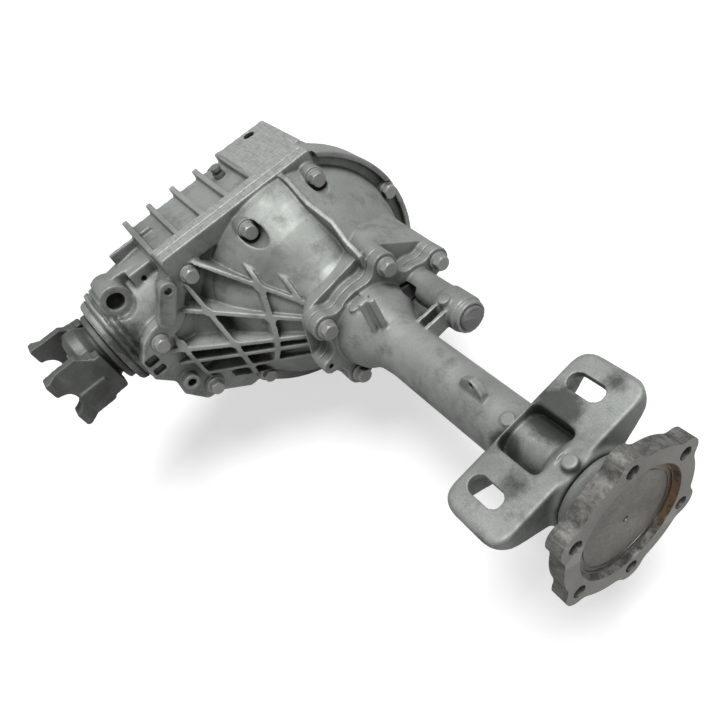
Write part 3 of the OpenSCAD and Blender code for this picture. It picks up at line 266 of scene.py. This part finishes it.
def castAluminium(look):
    mat, tree, shader = newMaterial("castAluminium")
    place = objectPlace(tree)
    broad = noise(tree, place, 11.0, 5.0, 0.6)
    patches = noise(tree, place, 42.0, 6.0, 0.65)
    grain = noise(tree, place, 1300.0, 2.0, 0.5)
    speck = noise(tree, place, 300.0, 3.0, 0.7)
    base = ramp(tree, broad, [(0.3, look["dark"]), (0.46, look["mid"]), (0.62, look["light"])])
    base = blendColours(tree, spread(tree, patches, 0.53, 0.74, 0.6), base, look["stain"])
    base = grained(tree, base, grain, [(0.3, 0.84), (0.7, 1.13)])
    pits = ramp(tree, speck, [(0.24, (0.35, 0.36, 0.34)), (0.29, (1, 1, 1))])
    base = blendColours(tree, 1.0, base, pits, "MULTIPLY")
    # painted highlight on convex edges
    base = blendColours(tree, paintedEdgeHighlight(tree, 0.55), base, look["edge"])
    # faces that were milled flat on top, with hatched cutter marks
    axes = axesOf(tree, place)
    height = maths(tree, "ADD", maths(tree, "MULTIPLY", axes["Z"], math.cos(tilt)),
                   maths(tree, "MULTIPLY", axes["Y"], math.sin(tilt)))
    above, blur = look["milledAbove"]
    milled = spread(tree, height, above - blur, above + blur)
    hatch = noise(tree, place, 700.0, 2.0, 0.5, (1.0, 0.12, 1.0))
    cross = noise(tree, place, 700.0, 2.0, 0.5, (0.12, 1.0, 1.0))
    weave = maths(tree, "MULTIPLY", maths(tree, "ADD", hatch, cross), 0.5)
    scored = ramp(tree, weave, [(0.4, scaled(look["milled"], 0.62)), (0.56, look["milled"])])
    base = blendColours(tree, maths(tree, "MULTIPLY", milled, 0.75), base, scored)
    # dark marks at listed places and where noise is high, then painted shade in the corners
    rough = noise(tree, place, 150.0, 6.0, 0.75)
    darkMarks = None
    for centre, radius, strength in look["marks"]:
        near = maths(tree, "MULTIPLY", nearTo(tree, place, centre, radius), strength)
        darkMarks = near if darkMarks is None else maths(tree, "MAXIMUM", darkMarks, near)
    darkMarks = maths(tree, "ADD", darkMarks, maths(tree, "MULTIPLY", rough, 0.9))
    darkMarks = spread(tree, darkMarks, 0.62, 1.1, 0.85)
    base = blendColours(tree, darkMarks, base, look["darkMarks"])
    corner = maths(tree, "MULTIPLY", crevice(tree, look["crevice"]),
                   maths(tree, "ADD", rough, 0.35), clamp=True)
    base = blendColours(tree, corner, base, look["paintedCornerShade"])
    tree.links.new(base, shader.inputs["Base Color"])
    shader.inputs["Metallic"].default_value = look["metallic"]
    roughness = greyRamp(tree, patches, [(0.3, look["rough"] - 0.08), (0.7, look["rough"] + 0.14)])
    tree.links.new(roughness, shader.inputs["Roughness"])
    bump(tree, shader, [(patches, 0.2, 0.001), (speck, 0.3, 0.0004), (grain, 0.3, 0.00015),
                        (maths(tree, "MULTIPLY", weave, milled), 0.5, 0.0004)])
    return mat


rustColour = (0.2, 0.105, 0.045)
steelGrain = [(0.3, 0.84), (0.7, 1.12)]


def forgedSteel(name, pale, dark, rough=0.5, metallic=0.75, reach=0.01):
    mat, tree, shader = newMaterial(name)
    place = objectPlace(tree)
    broad = noise(tree, place, 26.0, 5.0, 0.6)
    grain = noise(tree, place, 900.0, 3.0, 0.6)
    base = ramp(tree, broad, [(0.32, dark), (0.62, pale)])
    base = grained(tree, base, grain, steelGrain)
    # painted highlight on convex edges
    base = blendColours(tree, paintedEdgeHighlight(tree, 0.5), base, scaled(pale, 1.8))
    # painted shade in the corners from ambient occlusion
    paintedCornerShade = maths(tree, "MULTIPLY", crevice(tree, reach), 0.8)
    base = blendColours(tree, paintedCornerShade, base, scaled(dark, 0.25))
    tree.links.new(base, shader.inputs["Base Color"])
    shader.inputs["Metallic"].default_value = metallic
    shade = greyRamp(tree, broad, [(0.3, rough + 0.1), (0.7, rough - 0.06)])
    tree.links.new(shade, shader.inputs["Roughness"])
    bump(tree, shader, [(broad, 0.2, 0.0006), (grain, 0.3, 0.0002)])
    return mat


flangeLook = {
    "face": (0.29, 0.282, 0.26),
    "skin": (0.045, 0.045, 0.04),
    "skinPale": (0.24, 0.24, 0.225),
    # painted highlight colour for convex edges
    "edge": (0.5, 0.49, 0.46),
    # painted shade colour for the corners
    "paintedCornerShade": (0.02, 0.02, 0.018),
    "rustWall": (0.042, 0.0475),
    "hub": (0.3, 0.312, 0.295),
    # the middle between both flanges, and how far from it the hubs end
    "middle": 0.31,
    "hubEnd": 0.291,
}
# turning marks to the metre
turningMarks = 1300.0


def forgedFlange():
    # machined across the front, black forging skin round the rim and the back
    mat, tree, shader = newMaterial("flangeForged")
    place = objectPlace(tree)
    axes = axesOf(tree, place)
    away = awayFromAxle(tree, axes)
    broad = noise(tree, place, 30.0, 6.0, 0.65)
    scale = noise(tree, place, 130.0, 6.0, 0.75)
    grain = noise(tree, place, 900.0, 3.0, 0.6)
    skin = ramp(tree, scale, [(0.42, flangeLook["skin"]), (0.66, flangeLook["skinPale"])])
    face = flangeLook["face"]
    face = ramp(tree, broad, [(0.3, scaled(face, 0.72)), (0.6, face)])
    front = spread(tree, maths(tree, "ABSOLUTE", facing(tree, "X")), 0.75, 0.95)
    base = blendColours(tree, front, skin, face)
    # the hubs behind both flanges look like the casting
    fromMiddle = maths(tree, "ABSOLUTE", maths(tree, "ADD", axes["X"], flangeLook["middle"]))
    hubEnd = flangeLook["hubEnd"]
    hub = inverse(tree, spread(tree, fromMiddle, hubEnd - 0.0015, hubEnd))
    base = blendColours(tree, hub, base, flangeLook["hub"])
    base = grained(tree, base, grain, steelGrain)
    low, high = flangeLook["rustWall"]
    wall = maths(tree, "MULTIPLY", spread(tree, away, low, low + 0.001),
                 inverse(tree, spread(tree, away, high - 0.001, high)))
    side = maths(tree, "MULTIPLY", spread(tree, axes["Y"], 0.008, 0.03),
                 spread(tree, axes["X"], -0.02, -0.01))
    rust = maths(tree, "MULTIPLY", maths(tree, "MULTIPLY", wall, side),
                 spread(tree, scale, 0.4, 0.52, 0.9))
    base = blendColours(tree, rust, base, rustColour)
    # painted highlight on convex edges
    base = blendColours(tree, paintedEdgeHighlight(tree, 0.5), base, flangeLook["edge"])
    # painted shade in the corners from ambient occlusion
    paintedCornerShade = maths(tree, "MULTIPLY", crevice(tree, 0.008), 0.8)
    base = blendColours(tree, paintedCornerShade, base, flangeLook["paintedCornerShade"])
    tree.links.new(base, shader.inputs["Base Color"])
    shader.inputs["Metallic"].default_value = 0.6
    tree.links.new(greyRamp(tree, front, [(0.0, 0.6), (1.0, 0.42)]), shader.inputs["Roughness"])
    rings = maths(tree, "SINE", maths(tree, "MULTIPLY", away, turningMarks * math.tau))
    rings = maths(tree, "MULTIPLY", rings, front)
    skinBump = maths(tree, "MULTIPLY", scale, inverse(tree, front))
    bump(tree, shader, [(skinBump, 0.6, 0.0009), (rings, 0.05, 0.0002), (grain, 0.3, 0.0002)])
    return mat


plateLook = {
    "colour": (0.24, 0.232, 0.212),
    "marks": 1400.0,
    "rough": 0.4,
    "rustFrom": 0.0405,
}


def turnedPlate(look):
    # faint turning marks round the axle line, and rust on the outer ring
    mat, tree, shader = newMaterial("plateSteel")
    place = objectPlace(tree)
    axes = axesOf(tree, place)
    away = awayFromAxle(tree, axes)
    rings = maths(tree, "SINE", maths(tree, "MULTIPLY", away, look["marks"] * math.tau))
    broad = noise(tree, place, 30.0, 6.0, 0.65)
    grain = noise(tree, place, 500.0, 2.0)
    colour = look["colour"]
    base = ramp(tree, broad, [(0.32, scaled(colour, 0.72)), (0.5, colour),
                              (0.7, scaled(colour, 1.25))])
    base = grained(tree, base, grain, [(0.35, 0.85), (0.65, 1.1)])
    rusty = noise(tree, place, 46.0, 7.0, 0.7)
    side = maths(tree, "MULTIPLY", axes["Y"], 9.0)
    mask = maths(tree, "ADD", maths(tree, "SUBTRACT", rusty, 0.72), side, clamp=True)
    ring = maths(tree, "MULTIPLY", mask, maths(tree, "GREATER_THAN", away, look["rustFrom"]))
    base = blendColours(tree, maths(tree, "MULTIPLY", ring, 2.2, clamp=True), base, rustColour)
    tree.links.new(base, shader.inputs["Base Color"])
    shader.inputs["Metallic"].default_value = 0.8
    shader.inputs["Roughness"].default_value = look["rough"]
    bump(tree, shader, [(rings, 0.05, 0.0002), (broad, 0.12, 0.0004)])
    return mat


def blackRubber():
    mat, tree, shader = newMaterial("sealRubber")
    place = objectPlace(tree)
    dust = noise(tree, place, 120.0, 4.0)
    base = ramp(tree, dust, [(0.4, (0.015, 0.015, 0.015)), (0.75, (0.05, 0.05, 0.048))])
    tree.links.new(base, shader.inputs["Base Color"])
    shader.inputs["Roughness"].default_value = 0.7
    bump(tree, shader, [(dust, 0.15, 0.0002)])
    return mat


cast = castAluminium(castLook)
flangeForged = forgedFlange()
capSteel = forgedSteel("capSteel", (0.25, 0.255, 0.25), (0.19, 0.195, 0.19), 0.5, 0.35)
plateSteel = turnedPlate(plateLook)
boltSteel = forgedSteel("boltSteel", (0.3, 0.305, 0.295), (0.19, 0.195, 0.188), 0.46, 0.5,
                        0.006)
plugSteel = forgedSteel("plugSteel", (0.06, 0.06, 0.06), (0.025, 0.025, 0.025), 0.55, 0.5)
gearSteel = forgedSteel("gearSteel", (0.35, 0.35, 0.36), (0.22, 0.22, 0.23), 0.35, 0.9)
yokeForged = forgedSteel("yokeForged", (0.155, 0.163, 0.15), (0.085, 0.09, 0.083), 0.55, 0.4,
                         0.016)
carrierIron = forgedSteel("carrierIron", (0.2, 0.2, 0.2), (0.12, 0.12, 0.12), 0.6, 0.6)
rubber = blackRubber()
finishOf = {
    "cast_aluminium": cast,
    "flange_steel": flangeForged,
    "fastener_steel": boltSteel,
    "gear_steel": gearSteel,
    "yoke_steel": yokeForged,
    "carrier_iron": carrierIron,
    "seal_rubber": rubber,
}
slotOf = {s["node"]: s["material_slot"] for s in frame["record"]["subparts"]}


def dress(obj, mat):
    if obj.data.materials:
        for slot in obj.material_slots:
            slot.material = mat
    else:
        obj.data.materials.append(mat)


for name, node in nodes.items():
    dress(node, finishOf[slotOf[name]])
dress(nodes["flange_plate"], plateSteel)
dress(nodes["drain_plug"], plugSteel)
dress(nodes["rail_cap"], capSteel)
dress(nodes["shift_fork"], carrierIron)
dress(nodes["dust_deflector"], yokeForged)
print("materials on all nodes")


# Softened edges on the turned and forged parts

weldWithin = 0.000005
edgeOf = {
    "case_bolts": 0.0005, "tube_bolts": 0.0005, "flange_plate": 0.0008,
    "right_output_shaft": 0.001, "left_output_shaft": 0.001,
    "fill_plug": 0.0006, "drain_plug": 0.0006,
    "rail_cap": 0.0005, "vent": 0.0004, "dust_deflector": 0.0004,
}


def softenEdges(nodeName, width):
    node = nodes[nodeName]
    weld = node.modifiers.new("weld", "WELD")
    weld.merge_threshold = weldWithin
    bevel = node.modifiers.new("bevel", "BEVEL")
    bevel.width = width
    bevel.segments = 2
    bevel.limit_method = "ANGLE"
    bevel.angle_limit = math.radians(38)
    bevel.miter_outer = "MITER_ARC"


for nodeName, width in edgeOf.items():
    softenEdges(nodeName, width)
print("edges softened on", len(edgeOf), "nodes")


# Castings: the solid's own shape with cast fillets and a few small forms of its own

castings = {
    "case_left": {"voxel": 0.0013, "smooth": 2, "most": 190000, "body": "case"},
    "case_right": {"voxel": 0.00105, "smooth": 2, "most": 190000, "body": "case"},
    "tube_housing": {"voxel": 0.001, "smooth": 2, "most": 190000, "body": "case"},
    "pinion_yoke": {"voxel": 0.0009, "smooth": 3, "most": 70000, "body": "pinion"},
}
caseFrame = Matrix.Translation((-0.432, 0, 0)) @ Matrix.Rotation(-tilt, 4, "X")
quarterTurn = Matrix.Rotation(math.radians(90), 4, "X")
pinionFrame = caseFrame @ Matrix.Translation((-0.056, 0, 0.04)) @ quarterTurn


def addRod(bm, frame, centre, radius, low, high, sides=32):
    # a round bar along the frame's Z
    at = Matrix.Translation((centre[0], centre[1], (low + high) / 2))
    bmesh.ops.create_cone(bm, cap_ends=True, segments=sides, radius1=radius, radius2=radius,
                          depth=high - low, matrix=frame @ at)


def addBlock(bm, frame, low, high):
    middle = [(a + b) / 2 for a, b in zip(low, high)]
    size = [b - a for a, b in zip(low, high)]
    at = Matrix.Translation(middle) @ Matrix.Diagonal((*size, 1))
    bmesh.ops.create_cube(bm, size=1, matrix=frame @ at)


def addPlate(bm, frame, outline, thickness):
    # a flat outline in the frame's X and Z, with its thickness along Y
    made = [bm.verts.new((x, -thickness / 2, z)) for x, z in outline]
    face = bm.faces.new(made)
    grown = bmesh.ops.extrude_face_region(bm, geom=[face])["geom"]
    top = [g for g in grown if isinstance(g, bmesh.types.BMVert)]
    bmesh.ops.translate(bm, verts=top, vec=(0, thickness, 0))
    bmesh.ops.transform(bm, matrix=frame, verts=made + top)


def linked(name, data):
    obj = bpy.data.objects.new(name, data)
    bpy.context.scene.collection.objects.link(obj)
    return obj


def asObject(bm, name):
    bmesh.ops.remove_doubles(bm, verts=bm.verts, dist=weldWithin)
    bmesh.ops.recalc_face_normals(bm, faces=bm.faces)
    mesh = bpy.data.meshes.new(name)
    bm.to_mesh(mesh)
    bm.free()
    return linked(name, mesh)


def evaluated(obj):
    bpy.context.view_layer.update()
    graph = bpy.context.evaluated_depsgraph_get()
    made = bpy.data.meshes.new_from_object(obj.evaluated_get(graph))
    obj.modifiers.clear()
    obj.data = made
    return made


def carve(obj, cutter):
    cut = obj.modifiers.new("carve", "BOOLEAN")
    cut.operation = "DIFFERENCE"
    cut.solver = "EXACT"
    cut.object = cutter
    evaluated(obj)
    bpy.data.objects.remove(cutter)


def merge(obj, extra):
    bm = bmesh.new()
    bm.from_mesh(obj.data)
    bm.from_mesh(extra.data)
    bm.to_mesh(obj.data)
    bm.free()
    bpy.data.objects.remove(extra)


# Tube housing: clover post, leaning wiring tab and a shorter post at the collar

# blocks that take away the plainer forms: frame, low corner, high corner
plainForms = [
    (Matrix(), (-0.156, -0.0046, 0.0248), (-0.124, 0.0046, 0.045)),
    (Matrix(), (-0.0515, -0.0085, 0.0325), (-0.034, 0.0085, 0.05)),
    (caseFrame, (0.136, -0.018, 0.0405), (0.154, 0.0, 0.06)),
]
cloverPost = {"at": (0.17, -0.007), "low": 0.02, "high": 0.0615, "core": 0.0032,
              "lobe": 0.0031, "lobeAngles": (30, 150, 270), "spacing": 0.0053}
wiringTab = {
    "at": (-0.1425, 0.001, 0.0235),
    "lean": -24,
    "thickness": 0.0068,
    "hole": 0.0024,
    "holeAt": (0.0, 0.0085),
    "outline": [(-0.014, -0.004), (-0.014, 0.0035), (-0.0125, 0.0075), (-0.009, 0.0105),
                (-0.001, 0.0135), (0.005, 0.0115), (0.0115, 0.006), (0.013, 0.002),
                (0.013, -0.004)],
}
collarPost = {"at": (-0.0405, 0.0), "radius": 0.0058, "low": 0.02, "high": 0.0408}


def mergeRod(piece, name, frame, centre, radius, post, sides=32):
    bm = bmesh.new()
    addRod(bm, frame, centre, radius, post["low"], post["high"], sides)
    merge(piece, asObject(bm, name))


def shapeTubeHousing(piece):
    bm = bmesh.new()
    for frameOf, low, high in plainForms:
        addBlock(bm, frameOf, low, high)
    carve(piece, asObject(bm, "tubeCutter"))
    mergeRod(piece, "collarPost", Matrix(), collarPost["at"], collarPost["radius"], collarPost)
    x, y = cloverPost["at"]
    mergeRod(piece, "post", caseFrame, (x, y), cloverPost["core"], cloverPost)
    for angle in cloverPost["lobeAngles"]:
        spot = (x + cloverPost["spacing"] * math.cos(math.radians(angle)),
                y + cloverPost["spacing"] * math.sin(math.radians(angle)))
        mergeRod(piece, "lobe", caseFrame, spot, cloverPost["lobe"], cloverPost, 24)
    tabFrame = Matrix.Translation(wiringTab["at"])
    tabFrame = tabFrame @ Matrix.Rotation(math.radians(wiringTab["lean"]), 4, "X")
    bm = bmesh.new()
    addPlate(bm, tabFrame, wiringTab["outline"], wiringTab["thickness"])
    tab = asObject(bm, "tab")
    bm = bmesh.new()
    addRod(bm, tabFrame @ quarterTurn, wiringTab["holeAt"], wiringTab["hole"], -0.02, 0.02, 20)
    carve(tab, asObject(bm, "tabCutter"))
    merge(piece, tab)


# Left case: ring grooves round the pinion nose, drawn in on the finished mesh

noseGrooves = {"at": [0.1835, 0.1905, 0.1975], "half": 0.0015, "depth": 0.0026, "least": 0.04}


def grooveNose(mesh):
    back = pinionFrame.inverted()
    bm = bmesh.new()
    bm.from_mesh(mesh)
    for vert in bm.verts:
        spot = back @ vert.co
        away = math.hypot(spot.x, spot.y)
        if away < noseGrooves["least"]:
            continue
        for place in noseGrooves["at"]:
            near = abs(spot.z - place) / noseGrooves["half"]
            if near < 1:
                inward = (away - noseGrooves["depth"] * (1 - near ** 4)) / away
                vert.co = pinionFrame @ Vector((spot.x * inward, spot.y * inward, spot.z))
    bm.to_mesh(mesh)
    bm.free()


# Bracket: its edges are well rounded, its slots, bore and collar post stay crisp

bracketZone = {
    "from": (-0.1, -0.08, -0.02),
    "to": (-0.034, 0.08, 0.035),
    "rounds": 18,
    # middle in X, middle in Y either way, half length and half width with their rims
    "slots": (-0.073, 0.05, 0.019, 0.0115),
    "bore": 0.0275,
    "post": (-0.043, 0.009),
}


def roundBracket(mesh):
    slotX, slotY, halfLong, halfWide = bracketZone["slots"]
    low, high = bracketZone["from"], bracketZone["to"]
    postX, postRadius = bracketZone["post"]
    bm = bmesh.new()
    bm.from_mesh(mesh)
    soft = []
    for vert in bm.verts:
        x, y, z = vert.co
        if not all(low[i] < vert.co[i] < high[i] for i in range(3)):
            continue
        if abs(x - slotX) < halfLong and abs(abs(y) - slotY) < halfWide:
            continue
        if math.hypot(y, z) < bracketZone["bore"] or math.hypot(x - postX, y) < postRadius:
            continue
        soft.append(vert)
    for _ in range(bracketZone["rounds"]):
        bmesh.ops.smooth_vert(bm, verts=soft, factor=0.5, use_axis_x=True, use_axis_y=True,
                              use_axis_z=True)
    bm.to_mesh(mesh)
    bm.free()


# Yoke: each ear has a ridge down its outside and falls away from it

yokeShape = {
    "from": 0.226,
    "to": 0.2615,
    "ridgeHalf": 0.0022,
    "ridge": (0.04, 0.0462),
    "ridgeAlong": (0.23, 0.2595),
    "fall": 0.0075,
    "span": 0.033,
    "ear": (0.026, 0.044),
    # the fall grows and fades over a quarter of the ear's length
    "rate": 4,
    "fadesAt": 1.25,
}


def shapeYoke(piece):
    half = yokeShape["ridgeHalf"]
    low, high = yokeShape["ridgeAlong"]
    for side in (-1, 1):
        inner, outer = sorted(side * reach for reach in yokeShape["ridge"])
        bm = bmesh.new()
        addBlock(bm, pinionFrame, (inner, -half, low), (outer, half, high))
        merge(piece, asObject(bm, "ridge"))


def within(share):
    return max(0.0, min(1.0, share))


def slopeYoke(mesh):
    back = pinionFrame.inverted()
    inner, outer = yokeShape["ear"]
    bm = bmesh.new()
    bm.from_mesh(mesh)
    for vert in bm.verts:
        spot = back @ vert.co
        if abs(spot.x) < inner:
            continue
        along = (spot.z - yokeShape["from"]) / (yokeShape["to"] - yokeShape["from"])
        share = within(yokeShape["rate"] * along)
        share *= within(yokeShape["rate"] * (yokeShape["fadesAt"] - along))
        reach = (abs(spot.x) - inner) / (outer - inner)
        drop = yokeShape["fall"] * share * reach * min(1.0, abs(spot.y) / yokeShape["span"])
        spot.x -= math.copysign(drop, spot.x)
        vert.co = pinionFrame @ spot
    bm.to_mesh(mesh)
    bm.free()


shapers = {"tube_housing": shapeTubeHousing, "pinion_yoke": shapeYoke}
finishers = {"tube_housing": roundBracket, "case_left": grooveNose, "pinion_yoke": slopeYoke}


def castPiece(nodeName, settings):
    mesh = nodes[nodeName].data.copy()
    mesh.name = nodeName + "Cast"
    bm = bmesh.new()
    bm.from_mesh(mesh)
    bmesh.ops.remove_doubles(bm, verts=bm.verts, dist=weldWithin)
    bm.to_mesh(mesh)
    bm.free()
    piece = linked(nodeName + "Cast", mesh)
    if nodeName in shapers:
        shapers[nodeName](piece)
    remesh = piece.modifiers.new("remesh", "REMESH")
    remesh.mode = "VOXEL"
    remesh.voxel_size = settings["voxel"]
    smooth = piece.modifiers.new("smooth", "SMOOTH")
    smooth.factor = 0.5
    smooth.iterations = settings["smooth"]
    made = evaluated(piece)
    count = sum(len(p.vertices) - 2 for p in made.polygons)
    if nodeName in finishers:
        finishers[nodeName](made)
    if count > settings["most"]:
        thin = piece.modifiers.new("thin", "DECIMATE")
        thin.ratio = settings["most"] / count
        evaluated(piece)
    for face in piece.data.polygons:
        face.use_smooth = True
    piece.data.materials.clear()
    piece.data.materials.append(finishOf[slotOf[nodeName]])
    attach(piece, settings["body"])
    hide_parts(nodeName)
    print(nodeName, "cast:", count, "triangles before thinning")


for nodeName, settings in castings.items():
    castPiece(nodeName, settings)


# Camera, floor and light

camera = {
    "place": (0.1593, -0.0801, 0.4469),
    "right": (0.5426, 0.7044, -0.4575),
    "up": (-0.4705, 0.7061, 0.5292),
    "back": (0.6958, -0.0719, 0.7146),
    "lens": 33.985,
}


def makeCamera():
    data = bpy.data.cameras.new("camera")
    data.lens = camera["lens"]
    data.sensor_width = 36
    data.clip_start = 0.01
    obj = linked("camera", data)
    turn = Matrix((camera["right"], camera["up"], camera["back"])).transposed()
    obj.matrix_world = Matrix.Translation(camera["place"]) @ turn.to_4x4()
    bpy.context.scene.camera = obj


studio = {
    "floorColour": (0.5, 0.5, 0.5),
    "floorGlow": 0.62,
    "sun": {"from": (0.1, 0.2, 1.0), "power": 2.95, "spread": 30},
    "lamps": {
        "side": {"at": (0.9, 0.35, 0.6), "to": (-0.25, 0.0, 0.0), "size": 0.6, "power": 1.6},
        "front": {"at": (0.0, -1.1, 0.5), "to": (-0.35, 0.0, 0.0), "size": 0.8, "power": 0.5},
    },
    "world": 0.055,
    "glossy": 0.35,
}


def makeFloor():
    bm = bmesh.new()
    bmesh.ops.create_grid(bm, x_segments=1, y_segments=1, size=6)
    mesh = bpy.data.meshes.new("floor")
    bmesh.ops.translate(bm, verts=bm.verts, vec=(-0.3, 0, cadBox[0][2] - 0.002))
    bm.to_mesh(mesh)
    bm.free()
    floor = linked("floor", mesh)
    mat, tree, shader = newMaterial("floorPaper")
    shader.inputs["Base Color"].default_value = (*studio["floorColour"], 1)
    shader.inputs["Roughness"].default_value = 0.9
    output = next(n for n in tree.nodes if n.type == "OUTPUT_MATERIAL")
    glow = tree.nodes.new("ShaderNodeEmission")
    glow.inputs["Color"].default_value = (1, 1, 1, 1)
    add = tree.nodes.new("ShaderNodeAddShader")
    seen = tree.nodes.new("ShaderNodeLightPath")
    strength = maths(tree, "MULTIPLY", seen.outputs["Is Camera Ray"], studio["floorGlow"])
    tree.links.new(strength, glow.inputs["Strength"])
    tree.links.new(shader.outputs[0], add.inputs[0])
    tree.links.new(glow.outputs[0], add.inputs[1])
    tree.links.new(add.outputs[0], output.inputs["Surface"])
    mesh.materials.append(mat)
    floor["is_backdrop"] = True


def pointing(aim):
    return aim.to_track_quat("-Z", "Y").to_matrix().to_4x4()


def makeLamps():
    data = bpy.data.lights.new("sun", "SUN")
    data.energy = studio["sun"]["power"]
    data.angle = math.radians(studio["sun"]["spread"])
    obj = linked("sun", data)
    obj.matrix_world = pointing(-Vector(studio["sun"]["from"]))
    for name, lamp in studio["lamps"].items():
        data = bpy.data.lights.new(name, "AREA")
        data.size = lamp["size"]
        data.energy = lamp["power"]
        obj = linked(name, data)
        aim = Vector(lamp["to"]) - Vector(lamp["at"])
        obj.matrix_world = Matrix.Translation(lamp["at"]) @ pointing(aim)


def makeWorld():
    world = bpy.data.worlds.new("studio")
    bpy.context.scene.world = world
    world.use_nodes = True
    tree = world.node_tree
    back = next(n for n in tree.nodes if n.type == "BACKGROUND")
    seen = tree.nodes.new("ShaderNodeLightPath")
    direct = maths(tree, "MAXIMUM", seen.outputs["Is Camera Ray"],
                   seen.outputs["Is Transmission Ray"])
    glossy = maths(tree, "MULTIPLY", seen.outputs["Is Glossy Ray"], studio["glossy"])
    direct = maths(tree, "MAXIMUM", direct, glossy)
    glow = maths(tree, "MULTIPLY", direct, 1 - studio["world"])
    tree.links.new(maths(tree, "ADD", glow, studio["world"]), back.inputs["Strength"])
    back.inputs["Color"].default_value = (1, 1, 1, 1)


makeCamera()
makeFloor()
makeLamps()
makeWorld()
bpy.context.scene.view_settings.view_transform = "Standard"
print("camera, floor and light set")

lo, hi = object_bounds()
